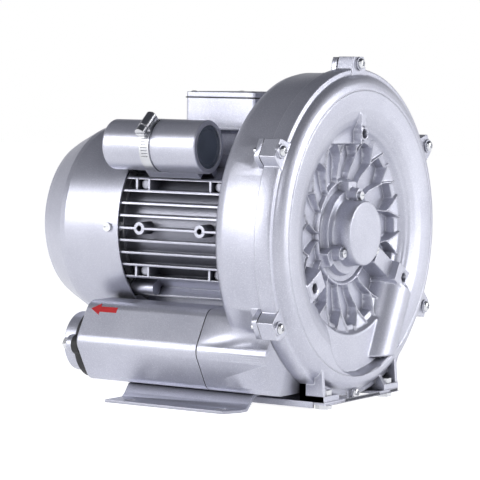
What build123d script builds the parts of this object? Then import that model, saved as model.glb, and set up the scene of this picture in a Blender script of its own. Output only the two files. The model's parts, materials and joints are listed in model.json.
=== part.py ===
from build123d import *
import math
import os

# Single-stage side channel blower with a flange-mounted induction motor.
# All lengths in millimetres.  Drawing frame: the shaft runs along Y with the
# front cover toward -Y, X is to the right of the cover and Z is up, with the
# shaft centreline at x = z = 0 and the cover rim's front edge at y = 0.
# The finished pieces are lifted so the base stands on z = 0 and are centred
# on the foot-hole pattern.
SHAFT_HEIGHT = 150.5
FOOT_CENTRE_Y = 107.0

# blower casing
RIM_RADIUS = 143.5
RIM_DEPTH = 14.0
CASE_RADIUS = 139.5
CASE_REAR_Y = 62.0
CHANNEL_RADIUS = 110.0
CHANNEL_TUBE = 26.0
CHANNEL_Y = 25.0
COVER_BOLT_R = 3.0
COVER_BOLT_SPOTS = ((148.0, 30), (148.0, 90), (148.0, 150), (148.0, 210), (141.0, 270),
                    (148.0, 330))
LIP_RADIUS = 83.0
RECESS_Y = 15.0
RING_RADIUS = 46.0
HUB_RADIUS = 28.5
HUB_FACE_Y = -11.0
RIB_COUNT = 18
PAD_CIRCLE = 87.0
PAD_ANGLES = (90, 210, 330)

# feet and base
LEG_X = 53.0
LEG_HALF = 13.0
LEG_FRONT_Y = -10.0
TONGUE_TOP = -142.5
BRIDGE_TOP = -136.0
TONGUE_HALF = 65.0
PLATE_T = 2.5
BASE_HALF = 130.0
BASE_REAR_Y = 174.5
BASE_FRONT_Y = 44.0
STEP_Y = 65.0
FOOT_HALF_X = 120.0
FOOT_PITCH_Y = 95.0
FOOT_HOLE_R = 5.5

# silencers
SILENCER_X = 82.0
SILENCER_Z = -100.5
SILENCER_FLAT = 35.5
SILENCER_FRONT_Y = 86.0
SILENCER_REAR_Y = 214.0
PORT_BORE = 22.0
PORT_THREAD = 20.95
FLANGE_RADIUS = 26.5
FLANGE_Y = 221.0

# motor
FRAME_BORE = 66.0
FRAME_BODY = 71.0
FIN_TIP = 87.5
FIN_PITCH = 11.0
FRAME_FRONT_Y = 66.0
FRAME_REAR_Y = 196.0
COWL_RADIUS = 89.5
COWL_FRONT_Y = 191.5
COWL_SHOULDER_Y = 256.0
COWL_REAR_Y = 288.0
CORE_Y0 = 95.0
CORE_Y1 = 160.0
STATOR_BORE = 33.0
ROTOR_RADIUS = 32.5
SHAFT_R = 10.0
FRONT_BEARING_Y = 52.0
REAR_BEARING_Y = 200.0
BEARING_W = 14.0
BEARING_OUT = 23.5
BALL_RING = 16.75
BALL_R = 3.9
SCREW_ANGLES = (45, 135, 225, 315)
FRAME_SCREW_CIRCLE = 76.0
SHIELD_SCREW_CIRCLE = 78.5

# terminal box and capacitor
BOX_HALF_X = 45.0
BOX_Y0 = 77.0
BOX_Y1 = 150.0
BOX_FLOOR_Z = 88.0
BOX_RIM_Z = 116.0
BOX_TOP_Z = 122.0
CAN_X = -87.0
CAN_Z = 74.0
CAN_R = 22.3
SLEEVE_R = 23.4
CAN_REAR_Y = 196.0
SLEEVE_REAR_Y = 143.0
SLEEVE_FRONT_Y = 97.0
CLAMP_TILT = 40.0


def polar(radius, degrees):
    """X and Z of a point at an angle measured from +X toward +Z."""
    a = math.radians(degrees)
    return round(radius * math.cos(a), 5), round(radius * math.sin(a), 5)


def turned(points):
    """Solid of revolution about the shaft from (radius, y) points."""
    return revolve(make_face(Polyline(*points, close=True)), Axis.Y)


def rod(radius, y0, y1, x=0.0, z=0.0):
    """Cylinder along Y."""
    plane = Plane((x, y0, z), x_dir=(1, 0, 0), z_dir=(0, 1, 0))
    return extrude(plane * Circle(radius), y1 - y0)


def tube(outer, inner, y0, y1, x=0.0, z=0.0):
    """Hollow cylinder along Y."""
    return rod(outer, y0, y1, x, z) - rod(inner, y0, y1, x, z)


def post(radius, z0, z1, x, y):
    """Cylinder along Z."""
    return extrude(Plane((x, y, z0)) * Circle(radius), z1 - z0)


def spoke(radius, x0, x1, y, z):
    """Cylinder along X."""
    plane = Plane((x0, y, z), x_dir=(0, 1, 0), z_dir=(1, 0, 0))
    return extrude(plane * Circle(radius), x1 - x0)


def block(x0, x1, y0, y1, z0, z1):
    """Rectangular block between two corners."""
    box = Box(x1 - x0, y1 - y0, z1 - z0)
    return Pos((x0 + x1) / 2, (y0 + y1) / 2, (z0 + z1) / 2) * box


def slab(sketch, y0, y1):
    """Outline drawn as seen from the front, given depth along Y."""
    plane = Plane((0, y1, 0), x_dir=(1, 0, 0), z_dir=(0, -1, 0))
    return extrude(plane * sketch, y1 - y0, dir=(0, -1, 0))


def about_shaft(solid, degrees):
    """Turn a solid about the shaft, positive from +X toward +Z."""
    return Rot(0, -degrees, 0) * solid


def hex_head(flat, y0, y1, x, z):
    """Hexagonal prism along Y with the given flat half-width."""
    return slab(Pos(x, z) * RegularPolygon(flat / math.cos(math.pi / 6), 6), y0, y1)


def mirrored(solid):
    """The same piece on the other side of the shaft."""
    return mirror(solid, Plane.YZ)


def merge(solids):
    """Fuse a list of solids in one pass."""
    return solids[0].fuse(*solids[1:])


# ---------------------------------------------------------------- casing

def channel_sweep(radius):
    """Ring-shaped air channel, stopped either side of the bottom."""
    ring = turned_circle(radius)
    gap = slab(Polygon((0, 0), (-110, -175), (110, -175), align=None), -40, 90)
    return ring - gap


def turned_circle(radius):
    """Full torus on the channel centreline."""
    face = Pos(CHANNEL_RADIUS, CHANNEL_Y) * Circle(radius)
    return revolve(face, Axis.Y)


def impeller_space():
    """Room for the spinning impeller with its running gaps."""
    return turned([(0, 19), (84, 19), (84, 12), (124, 12), (124, 38), (84, 38),
                   (84, 31), (24, 31), (24, 40.5), (0, 40.5)])


def silencer_outline(flat):
    """Six-sided silencer section with generous corner radii."""
    outline = RegularPolygon(flat / math.cos(math.pi / 6), 6)
    return fillet(outline.vertices(), 13)


def cover_body():
    """Turned body of the front cover, outer skin only."""
    return turned([(0, 19), (80, 19), (80, RIM_DEPTH),
                   (RIM_RADIUS, RIM_DEPTH), (RIM_RADIUS, 1.5), (142, 0),
                   (137, -4.2), (131.5, -7.2), (126, -9.0), (125, -8.6),
                   (117, -8.4), (108, -7.6), (99, -5.6), (91, -2.6), (86, -0.4),
                   (84.6, 0.4), (LIP_RADIUS, 0.6), (81.6, 2.0), (80.6, 6.0),
                   (79.5, RECESS_Y), (RING_RADIUS + 1.4, RECESS_Y),
                   (RING_RADIUS + 0.9, 10.2), (RING_RADIUS, 9.6),
                   (RING_RADIUS - 1.4, 10.2), (RING_RADIUS - 2.2, 13.0),
                   (38.0, 13.0), (37.0, 6.0), (30.0, 5.2), (HUB_RADIUS + 0.7, 4.0),
                   (HUB_RADIUS, -10.0), (HUB_RADIUS - 1.0, HUB_FACE_Y), (0, HUB_FACE_Y)])


def petal_rib(index):
    """One S-curved cooling rib in the cover recess.

    Neighbours lean opposite ways, so pairs close together at the wall and
    open toward the ring like petals.
    """
    step = 360.0 / RIB_COUNT
    base = 90.0 + (index + 0.5) * step
    lean = 6.2 if index % 2 else -6.2
    path = [polar(RING_RADIUS - 0.5, base + lean * 0.25), polar(56, base - lean * 0.55),
            polar(68, base - lean * 0.05), polar(76, base + lean * 0.75),
            polar(82.3, base + lean * 1.05)]
    rib = slab(trace(Spline(*path), 1.9), -1, RECESS_Y + 1)
    top = turned([(0, 20), (95, 20), (95, 1.2), (82, 2.2), (70, 6.0), (56, 8.6),
                  (45, 9.8), (0, 9.8)])
    return rib & top


def rim_boss(radius, degrees):
    """Square-shouldered bolt boss on the rim with its stepped face."""
    r = radius
    outline = Polygon((136, -15), (r + 3, -11), (r + 6.5, -9), (r + 6.5, 9), (r + 3, 11),
                      (136, 15), align=None)
    boss = slab(outline, -1.5, RIM_DEPTH)
    step = slab(Polygon((r + 2.5, -12), (r + 8, -12), (r + 8, -2.5), (r + 2.5, -2.5),
                        align=None), -3, 4)
    pad = rod(6.2, -3.4, 0, r, 0)
    return about_shaft(boss - step + pad, degrees)


def case_boss(radius, degrees):
    """Matching boss on the rear housing with a tapped hole."""
    r = radius
    outline = Polygon((130, -14), (r + 2, -10.5), (r + 5.5, -8.5), (r + 5.5, 8.5),
                      (r + 2, 10.5), (130, 14), align=None)
    return about_shaft(slab(outline, RIM_DEPTH + 0.8, RIM_DEPTH + 14), degrees)


def bolt_bores(radius, y0, y1):
    """Bores on the six cover-bolt positions."""
    bores = []
    for r, a in COVER_BOLT_SPOTS:
        x, z = polar(r, a)
        bores.append(rod(radius, y0, y1, x, z))
    return bores


def pad_bar(degrees, inner, front_y):
    """Radial bar that ends in a threaded pad for standing the unit upright."""
    crown = slab(Polygon((66, -10), (98, -10), (100, -7), (100, 8), (97, 11), (66, 11),
                         align=None), front_y, RECESS_Y)
    neck = slab(Polygon((inner, -8), (68, -10), (68, 11), (inner, 8), align=None),
                front_y + 7, RECESS_Y)
    return about_shaft(crown + neck, degrees)


def top_pad():
    """Half-round threaded pad at the top with its sloping shelf."""
    wall = slab(Polygon((-6, 78), (-3.5, 78), (-3.5, 105), (-6, 105), align=None), -8, RECESS_Y)
    nose = slab(Polygon((-4, 78), (7, 80), (7, 100), (3, 104), (-4, 104), align=None), -6, RECESS_Y)
    ring = slab(Pos(0, PAD_CIRCLE) * Circle(6.6), -9, RECESS_Y)
    shelf = slab(Polygon((-34, 73), (-29, 84), (-18, 93), (-5, 99), (-5, 76), align=None),
                 -1, RECESS_Y)
    return merge([wall, nose, ring, shelf])


def hub_webs():
    """Three block-shaped webs joining the hub to the ring."""
    web = slab(Polygon((22, -6.5), (45, -6.5), (45, 6.5), (22, 6.5), align=None), 3, 14)
    nose = slab(Pos(33, 0) * Circle(6.0), -4.5, 14)
    return [about_shaft(web + nose, a) for a in PAD_ANGLES]


def channel_end():
    """Half-round end of the channel, running straight to a level cut."""
    start = Vector(87, 8, -30)
    run = Vector(44, 8, -118) - start
    plane = Plane(start, x_dir=(0, 1, 0), z_dir=run)
    body = extrude(plane * Circle(20), run.length)
    return body & block(10, 140, -14, RIM_DEPTH, -112, -28)


def interrupter_cut():
    """Flat area at the bottom, between the two ends of the channel."""
    outline = Polygon((-50, -66), (-47, -98), (-40, -108), (-28, -116.5), (-12, -121.8),
                      (4, -122.3), (17, -120.5), (34, -117), (66, -103), (66, -50),
                      (40, -40), align=None)
    return slab(outline, -30, 0.0)


def cover_legs():
    """Two cast legs with gussets, carrying the casing on the base plate."""
    legs = []
    foot = TONGUE_TOP
    for side in (-1, 1):
        x0 = side * LEG_X - LEG_HALF
        x1 = side * LEG_X + LEG_HALF
        pad = block(x0, x1, LEG_FRONT_Y, RIM_DEPTH, foot, foot + 5)
        wall = block(x0, x1, RIM_DEPTH - 7, RIM_DEPTH, foot, -112)
        profile = Plane((0, 0, 0), x_dir=(0, 1, 0), z_dir=(1, 0, 0))
        gusset = Polygon((LEG_FRONT_Y, foot), (RIM_DEPTH, foot), (RIM_DEPTH, -110), (-2, -110),
                         (LEG_FRONT_Y, foot + 12), align=None)
        rib = extrude(profile * gusset, 4)
        outer = rib.moved(Location((x0 if side < 0 else x1 - 4, 0, 0)))
        inner = rib.moved(Location((x1 - 4 if side < 0 else x0, 0, 0)))
        hole = post(4.3, foot - 2, foot + 10, side * LEG_X, LEG_FRONT_Y + 8)
        legs.append(pad.fuse(wall, outer, inner) - hole)
    return legs


def front_cover():
    """Front cover: rim, channel bulge, ribbed recess, hub, pads and legs."""
    body = cover_body() - interrupter_cut()
    adds = [petal_rib(i) for i in range(RIB_COUNT)]
    adds += [rim_boss(r, a) for r, a in COVER_BOLT_SPOTS]
    adds += hub_webs()
    adds += [top_pad(), pad_bar(330, 42, -9), pad_bar(210, 60, -9)]
    adds += cover_legs()
    adds += [channel_end()]
    body = body.fuse(*adds)
    cuts = [impeller_space(), channel_sweep(CHANNEL_TUBE), rod(24, -6.5, 20)]
    cuts += bolt_bores(COVER_BOLT_R + 0.3, -8, RIM_DEPTH + 1)
    for a in PAD_ANGLES:
        x, z = polar(PAD_CIRCLE, a)
        cuts.append(rod(4.0, -12, 9, x, z))
        x, z = polar(33, a)
        cuts.append(rod(2.2, -5, 6, x, z))
    cuts.append(rod(6.2, -10, -3.4, 0, -141))
    for side in (-1, 1):
        cuts.append(post(8.0, TONGUE_TOP + 5, -131.5, side * LEG_X, LEG_FRONT_Y + 8))
    cuts.append(block(-40, 40, -20, 30, -160, -147))
    return body.cut(*cuts)


def port_stub():
    """Cast neck carrying the air from the channel back to the silencer."""
    outline = Pos(-SILENCER_X, SILENCER_Z) * silencer_outline(SILENCER_FLAT)
    neck = slab(outline, RIM_DEPTH + 1.2, SILENCER_FRONT_Y - 1.0)
    keep = slab(Pos(-SILENCER_X, SILENCER_Z) * Circle(60), 0, 100)
    return neck & keep


def blower_housing():
    """Rear housing with channel, impeller pocket, bearing seat and necks."""
    body = turned([(84.5, 14.8), (CASE_RADIUS, 14.8), (CASE_RADIUS, 48), (138, 54),
                   (134, 58.5), (127, 61.3), (118, CASE_REAR_Y), (96, CASE_REAR_Y), (88, 60),
                   (82, 57), (82, FRAME_FRONT_Y), (50, FRAME_FRONT_Y), (50, 60),
                   (BEARING_OUT + 8, 72), (0, 72), (0, 31), (84.5, 31)])
    adds = [port_stub(), mirrored(port_stub())]
    adds += [case_boss(r, a) for r, a in COVER_BOLT_SPOTS]
    body = body.fuse(*adds)
    cuts = [impeller_space(), channel_sweep(CHANNEL_TUBE)]
    for side in (-1, 1):
        x = side * SILENCER_X
        cuts.append(rod(PORT_BORE, CHANNEL_Y, SILENCER_FRONT_Y, x, SILENCER_Z + 9))
    cuts.append(rod(BEARING_OUT, FRONT_BEARING_Y, 80))
    cuts.append(rod(17.5, 42, 49.5))
    cuts.append(rod(SHAFT_R + 1.5, 20, 60))
    cuts += bolt_bores(COVER_BOLT_R, RIM_DEPTH - 2, RIM_DEPTH + 11)
    for a in SCREW_ANGLES:
        x, z = polar(FRAME_SCREW_CIRCLE, a)
        cuts.append(rod(2.5, 56, 68, x, z))
    cuts.append(block(-40, 40, 0, 40, -160, -147))
    return body.cut(*cuts)


def housing_gasket():
    """Flat seal between cover rim and rear housing."""
    ring = turned([(137.4, RIM_DEPTH), (CASE_RADIUS - 0.4, RIM_DEPTH),
                   (CASE_RADIUS - 0.4, 14.8), (137.4, 14.8)])
    return ring - rod(COVER_BOLT_R + 0.3, 10, 20, 0, -141)


def cover_bolts():
    """Six flanged socket bolts round the rim."""
    bolts = []
    for r, a in COVER_BOLT_SPOTS:
        x, z = polar(r, a)
        shank = rod(COVER_BOLT_R, -3.4, RIM_DEPTH + 10.5, x, z)
        socket = hex_head(2.4, -8.5, -5.6, x, z)
        bolts.append(shank + rod(5.4, -8.4, -3.4, x, z) - socket)
    return Compound(children=bolts)


def hub_screws():
    """Three pan-head screws round the cover hub."""
    screws = []
    for a in PAD_ANGLES:
        x, z = polar(33, a)
        screw = rod(2.2, -4.5, 5, x, z) + rod(3.6, -6.9, -4.5, x, z)
        slot = block(x - 3, x + 3, -8, -6, z - 0.4, z + 0.4)
        screws.append(screw - slot)
    return Compound(children=screws)


def impeller():
    """Cast impeller: hub, web and a ring of straight vanes on both sides."""
    web = turned([(9.5, 11), (22, 11), (24, 21.5), (84, 21.5), (87, 23.5), (113, 24),
                  (113, 26), (87, 26.5), (84, 28.5), (24, 28.5), (22, 39), (9.5, 39)])
    vane = slab(Polygon((86.5, -0.9), (121.5, -1.1), (121.5, 1.1), (86.5, 0.9), align=None),
                13.5, 36.5)
    vanes = [about_shaft(vane, k * 360.0 / 44) for k in range(44)]
    wheel = web.fuse(*vanes)
    rim = turned([(86.2, 14), (88.4, 14), (88.4, 36), (86.2, 36)])
    keyway = block(-3, 3, 10, 40, 8, 12.3)
    return wheel + rim - keyway


def impeller_key():
    """Parallel key between shaft nose and impeller."""
    return block(-3, 3, 15, 35, 6.5, 12.3)


def impeller_washer():
    """Thick clamping washer on the shaft nose."""
    return tube(17, 4.1, 7.5, 11)


def impeller_bolt():
    """Hexagon bolt that clamps the impeller."""
    return rod(4, 2.0, 30) + hex_head(6.5, 1.8, 7.5, 0, 0)


def shaft_seal():
    """Lip seal keeping process air out of the front bearing."""
    return turned([(SHAFT_R + 0.05, 42), (17.5, 42), (17.5, 49.5), (15, 49.5), (15, 44.5),
                   (12.4, 44.5), (SHAFT_R + 1.1, 48.5), (SHAFT_R + 0.05, 48.5)])


# ---------------------------------------------------------------- motor

def motor_shaft():
    """Stepped rotor shaft from impeller nose to fan seat."""
    body = turned([(4, 30.5), (4, 14), (9.5, 14), (9.5, 40), (SHAFT_R, 41), (SHAFT_R, 66),
                   (13, 67), (13, 90), (14, 90), (14, 165), (12, 166), (12, 199),
                   (SHAFT_R, 200), (SHAFT_R, 216), (8, 217), (8, 252), (7, 253), (0, 253), (0, 30.5)])
    keyway = block(-3, 3, 15, 35, 6.5, 12)
    return body - keyway


def bearing_outer(y0):
    """Outer race with its ball groove."""
    race = tube(BEARING_OUT, 19.4, y0, y0 + BEARING_W)
    return race - ball_groove(y0)


def bearing_inner(y0):
    """Inner race with its ball groove."""
    race = tube(14.1, SHAFT_R, y0, y0 + BEARING_W)
    return race - ball_groove(y0)


def ball_groove(y0):
    """Torus that cuts both running grooves."""
    face = Pos(BALL_RING, y0 + BEARING_W / 2) * Circle(BALL_R + 0.12)
    return revolve(face, Axis.Y)


def bearing_balls(y0):
    """Eight balls carried in a thin cage."""
    mid = y0 + BEARING_W / 2
    group = [tube(BALL_RING + 1.2, BALL_RING - 1.2, mid - 4.8, mid - BALL_R),
             tube(BALL_RING + 1.2, BALL_RING - 1.2, mid + BALL_R, mid + 4.8)]
    for k in range(8):
        x, z = polar(BALL_RING, k * 45 + 10)
        group.append(Pos(x, mid, z) * Sphere(BALL_R))
    return Compound(children=group)


def motor_frame():
    """Die-cast frame: bore, cooling fins, bolt pads and box pedestal."""
    parts = [tube(FRAME_BODY, FRAME_BORE, FRAME_FRONT_Y, FRAME_REAR_Y)]
    parts.append(tube(81.5, FRAME_BORE, FRAME_FRONT_Y, FRAME_FRONT_Y + 7))
    envelope = rod(FIN_TIP, FRAME_FRONT_Y + 7, FRAME_REAR_Y)
    fins = []
    for k in range(-4, 5):
        z = k * FIN_PITCH
        fins.append(block(-90, 90, 72, 195.5, z - 1.0, z + 1.0))
        if abs(k) < 4:
            x = k * FIN_PITCH
            fins.append(block(x - 1.0, x + 1.0, 72, 195.5, -90, 90))
    for side in (-1, 1):
        for tilt, tip in ((51, 90), (-51, 80)):
            fin = block(60, tip, 72, 195.5, -1.1, 1.1)
            fins.append(about_shaft(fin, tilt if side > 0 else 180 - tilt))
    grid = fins[0].fuse(*fins[1:]) & envelope
    pads = []
    for side in (-1, 1):
        for zs in (-1, 1):
            for y0 in (88.0, 166.0):
                pads.append(pad_box(side, zs, y0))
        for y0 in (106.0, 170.0):
            pads.append(spoke(5.6, min(side * 70, side * 87), max(side * 70, side * 87), y0, 0))
    pedestal = block(-36, 36, 84, 144, 62, BOX_FLOOR_Z)
    core = rod(FRAME_BORE, 0, 300)
    lugs = []
    for a in SCREW_ANGLES:
        x, z = polar(SHIELD_SCREW_CIRCLE, a)
        arm = about_shaft(block(68, 78, 172, FRAME_REAR_Y, -4, 4), a)
        lugs.append(rod(6.2, 172, FRAME_REAR_Y, x, z) + arm)
    body = parts[0].fuse(parts[1], grid, pedestal, *pads, *lugs)
    cuts = [core]
    for side in (-1, 1):
        for y0 in (106.0, 170.0):
            cuts.append(spoke(2.6, min(side * 76, side * 90), max(side * 76, side * 90), y0, 0))
    for a in SCREW_ANGLES:
        x, z = polar(FRAME_SCREW_CIRCLE, a)
        cuts.append(rod(2.5, 60, 74, x, z))
        x, z = polar(SHIELD_SCREW_CIRCLE, a)
        cuts.append(rod(2.5, 176, 200, x, z))
    cuts.append(block(-18, 18, 100, 128, 60, 90))
    return body.cut(*cuts)


def pad_box(side, zs, y0):
    """Square bolt pocket bridging the outermost pair of side fins."""
    z0 = zs * 3.0 * FIN_PITCH
    z1 = zs * 4.0 * FIN_PITCH
    low, high = min(z0, z1), max(z0, z1)
    webs = []
    for y in (y0, y0 + 13.0):
        webs.append(block(min(side * 56, side * 76.5), max(side * 56, side * 76.5),
                          y, y + 2.2, low, high))
    nut = spoke(4.0, min(side * 56, side * 72), max(side * 56, side * 72), y0 + 7.6,
                (low + high) / 2)
    return merge(webs + [nut])


def frame_screws():
    """Four cap screws holding the motor frame to the blower housing."""
    screws = []
    for a in SCREW_ANGLES:
        x, z = polar(FRAME_SCREW_CIRCLE, a)
        screws.append(rod(2.5, 56.5, 73, x, z) + rod(4.2, 73, 77.5, x, z))
    return Compound(children=screws)


def stator_core():
    """Laminated stator with twenty-four slots."""
    core = tube(FRAME_BORE, STATOR_BORE, CORE_Y0, CORE_Y1)
    slot = slab(Polygon((STATOR_BORE - 1, -1.2), (38, -1.8), (52, -3.6), (52, 3.6), (38, 1.8),
                        (STATOR_BORE - 1, 1.2), align=None), CORE_Y0 - 1, CORE_Y1 + 1)
    return core.cut(*[about_shaft(slot, k * 15) for k in range(24)])


def stator_windings():
    """End turns at both faces of the core, joined by the slot conductors."""
    front = turned([(38.5, 78), (42, 75), (52, 75), (56, 79), (55, CORE_Y0), (37.5, CORE_Y0)])
    rear = turned([(37.5, CORE_Y1), (55, CORE_Y1), (56, 176), (52, 180), (42, 180), (38.5, 177)])
    bar = slab(Polygon((38, -1.7), (51.5, -3.4), (51.5, 3.4), (38, 1.7), align=None),
               CORE_Y0 - 1, CORE_Y1 + 1)
    return front.fuse(rear, *[about_shaft(bar, k * 15) for k in range(24)])


def rotor_core():
    """Laminated rotor stack."""
    return tube(ROTOR_RADIUS, 14, CORE_Y0, CORE_Y1)


def rotor_rings():
    """Cast cage end rings with balancing fins."""
    rings = []
    for y0, y1, f0, f1 in ((CORE_Y0 - 6, CORE_Y0, CORE_Y0 - 12, CORE_Y0 - 5),
                           (CORE_Y1, CORE_Y1 + 6, CORE_Y1 + 5, CORE_Y1 + 12)):
        ring = tube(31.5, 21, y0, y1)
        fin = block(22.5, 30, f0, f1, -1.2, 1.2)
        rings.append(ring.fuse(*[about_shaft(fin, k * 45) for k in range(8)]))
    return Compound(children=rings)


def rear_endshield():
    """Rear bearing shield spigoted into the frame."""
    plate = turned([(BEARING_OUT, 198), (30, 198), (33, 194), (60, 191), (FRAME_BORE, 191),
                    (FRAME_BORE, FRAME_REAR_Y), (74, FRAME_REAR_Y), (74, 202), (62, 203),
                    (34, 208), (31, 218), (BEARING_OUT - 2, 218), (BEARING_OUT - 2, 216.5),
                    (BEARING_OUT, 216.5)])
    ears = []
    for a in SCREW_ANGLES:
        x, z = polar(SHIELD_SCREW_CIRCLE, a)
        ears.append(rod(6.5, 198, 206, x, z))
    holes = []
    for a in SCREW_ANGLES:
        x, z = polar(SHIELD_SCREW_CIRCLE, a)
        holes.append(rod(2.5, 196, 207, x, z))
    arms = [about_shaft(block(60, 79, 198, 203, -5, 5), a) for a in SCREW_ANGLES]
    feet = [about_shaft(block(79, 87.3, 198, 206, -5, 5), a) for a in (0, 90, 180, 270)]
    links = [about_shaft(block(60, 80, 198, 203, -4, 4), a) for a in (0, 90, 180, 270)]
    body = plate.fuse(*ears, *arms, *feet, *links).cut(*holes)
    screw_holes = [about_shaft(spoke(2.0, 80, 92, 202, 0), a) for a in (0, 90, 180, 270)]
    return body.cut(*screw_holes)


def wave_washer():
    """Preload washer behind the rear bearing."""
    return tube(BEARING_OUT - 0.3, 18, REAR_BEARING_Y + BEARING_W, 216.5)


def shield_bolts():
    """Four nuts and stud ends clamping the rear shield."""
    bolts = []
    for a in SCREW_ANGLES:
        x, z = polar(SHIELD_SCREW_CIRCLE, a)
        bolts.append(rod(2.5, 177, 211, x, z) + hex_head(4.0, 206, 210, x, z))
    return Compound(children=bolts)


def cooling_fan():
    """Moulded radial fan with ten vanes on a dished disc."""
    disc = turned([(8, 228), (15, 228), (16, 232), (70, 236), (70, 238.5), (16, 236),
                   (15, 250), (8, 250)])
    vane = slab(Polygon((14, -1.2), (69, -1.2), (69, 1.2), (14, 1.2), align=None), 235, 256)
    sweep = turned([(0, 220), (72, 220), (72, 252), (60, 256), (18, 249), (0, 249)])
    vanes = [about_shaft(vane, k * 36) & sweep for k in range(10)]
    return disc.fuse(*vanes)


def fan_clip():
    """Retaining ring that holds the fan on the shaft."""
    ring = tube(12, 8, 250, 251.6)
    return ring - block(-2.5, 2.5, 249, 253, 6, 14)


def fan_cowl():
    """Pressed fan cowl with a tapered shoulder and a grille of slots."""
    skin = turned([(COWL_RADIUS - 1.6, COWL_FRONT_Y), (COWL_RADIUS, COWL_FRONT_Y),
                   (COWL_RADIUS, 250), (COWL_RADIUS - 1.2, COWL_SHOULDER_Y), (84.5, 264),
                   (78, 277), (74, 284), (69, COWL_REAR_Y), (0, COWL_REAR_Y),
                   (0, COWL_REAR_Y - 1.6), (68.5, COWL_REAR_Y - 1.6), (72.6, 283),
                   (76.5, 276.4), (83, 263.5), (COWL_RADIUS - 2.6, 255.5),
                   (COWL_RADIUS - 1.6, 249.5)])
    cuts = []
    for ring_r in (16, 27, 38, 49, 60):
        arc = slab(Circle(ring_r + 3.2) - Circle(ring_r - 3.2), COWL_REAR_Y - 4, COWL_REAR_Y + 2)
        cuts.append(arc)
    bars = [about_shaft(block(6, 66, COWL_REAR_Y - 5, COWL_REAR_Y + 3, -2.4, 2.4), a)
            for a in range(0, 360, 45)]
    grille = cuts[0].fuse(*cuts[1:]) - bars[0].fuse(*bars[1:])
    skin = skin - grille
    pins = [about_shaft(spoke(2.1, 80, 92, 202, 0), a) for a in (0, 90, 180, 270)]
    return skin.cut(*pins)


def cowl_screws():
    """Four pan-head screws through the cowl wall."""
    screws = []
    for a in (0, 90, 180, 270):
        x = spoke(2.0, 81, COWL_RADIUS, 202, 0)
        head = spoke(4.0, COWL_RADIUS, COWL_RADIUS + 2.4, 202, 0)
        cross = block(COWL_RADIUS + 1.4, COWL_RADIUS + 3, 199.4, 204.6, -0.5, 0.5)
        screws.append(about_shaft(x + head - cross, a))
    return Compound(children=screws)


# ---------------------------------------------------------- terminal box

def terminal_box():
    """Cast terminal box standing on the frame pedestal."""
    shell = block(-BOX_HALF_X, BOX_HALF_X, BOX_Y0, BOX_Y1, BOX_FLOOR_Z, BOX_RIM_Z)
    shell = fillet(shell.edges().filter_by(Axis.Z), 3)
    flange = block(-BOX_HALF_X - 1.5, BOX_HALF_X + 1.5, BOX_Y0 - 1.5, BOX_Y1 + 1.5,
                   BOX_FLOOR_Z, BOX_FLOOR_Z + 2.4)
    room = block(-BOX_HALF_X + 3, BOX_HALF_X - 3, BOX_Y0 + 3, BOX_Y1 - 3,
                 BOX_FLOOR_Z + 3, BOX_RIM_Z + 1)
    corners = [post(5.0, BOX_FLOOR_Z + 1, BOX_RIM_Z, sx * (BOX_HALF_X - 5.5), y)
               for sx in (-1, 1) for y in (BOX_Y0 + 5.5, BOX_Y1 - 5.5)]
    body = (shell + flange - room).fuse(*corners)
    taps = [post(1.7, BOX_RIM_Z - 9, BOX_RIM_Z + 1, sx * (BOX_HALF_X - 5.5), y)
            for sx in (-1, 1) for y in (BOX_Y0 + 5.5, BOX_Y1 - 5.5)]
    entry = spoke(10.0, BOX_HALF_X - 6, BOX_HALF_X + 4, 113.5, 103)
    wires = block(-18, 18, 100, 128, BOX_FLOOR_Z - 2, BOX_FLOOR_Z + 6)
    return body.cut(entry, wires, *taps)


def box_gasket():
    """Flat gasket under the lid."""
    outer = block(-BOX_HALF_X, BOX_HALF_X, BOX_Y0, BOX_Y1, BOX_RIM_Z, BOX_RIM_Z + 1)
    inner = block(-BOX_HALF_X + 3, BOX_HALF_X - 3, BOX_Y0 + 3, BOX_Y1 - 3,
                  BOX_RIM_Z - 1, BOX_RIM_Z + 2)
    return outer - inner - corner_bores(2.2, BOX_RIM_Z - 1, BOX_RIM_Z + 2)


def corner_bores(radius, z0, z1):
    """Four vertical bores at the lid-screw positions."""
    bores = [post(radius, z0, z1, sx * (BOX_HALF_X - 5.5), y)
             for sx in (-1, 1) for y in (BOX_Y0 + 5.5, BOX_Y1 - 5.5)]
    return bores[0].fuse(*bores[1:])


def box_lid():
    """Lid with a small overhang and rounded upright edges."""
    lid = block(-BOX_HALF_X - 1.5, BOX_HALF_X + 1.5, BOX_Y0 - 1.5, BOX_Y1 + 1.5,
                BOX_RIM_Z + 1, BOX_TOP_Z)
    lid = fillet(lid.edges().filter_by(Axis.Z), 3.5)
    lid = chamfer(lid.faces().sort_by(Axis.Z)[-1].edges(), 1.2)
    return lid - corner_bores(2.0, BOX_RIM_Z, BOX_TOP_Z + 1)


def lid_screws():
    """Four screws that close the terminal box."""
    screws = []
    for sx in (-1, 1):
        for y in (BOX_Y0 + 5.5, BOX_Y1 - 5.5):
            x = sx * (BOX_HALF_X - 5.5)
            screw = post(1.7, BOX_RIM_Z - 7, BOX_TOP_Z, x, y) + post(3.4, BOX_TOP_Z, BOX_TOP_Z + 2, x, y)
            slot = block(x - 2.6, x + 2.6, y - 0.4, y + 0.4, BOX_TOP_Z + 1.1, BOX_TOP_Z + 3)
            screws.append(screw - slot)
    return Compound(children=screws)


def terminal_board():
    """Moulded board on two feet that carries the six studs."""
    board = block(-24, 24, 96, 132, BOX_FLOOR_Z + 8, BOX_FLOOR_Z + 12)
    feet = [block(-24, -20, 96, 132, BOX_FLOOR_Z + 3, BOX_FLOOR_Z + 8),
            block(20, 24, 96, 132, BOX_FLOOR_Z + 3, BOX_FLOOR_Z + 8)]
    ribs = [block(x - 0.8, x + 0.8, 98, 130, BOX_FLOOR_Z + 12, BOX_FLOOR_Z + 15) for x in (-8, 8)]
    return board.fuse(*feet, *ribs)


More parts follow.
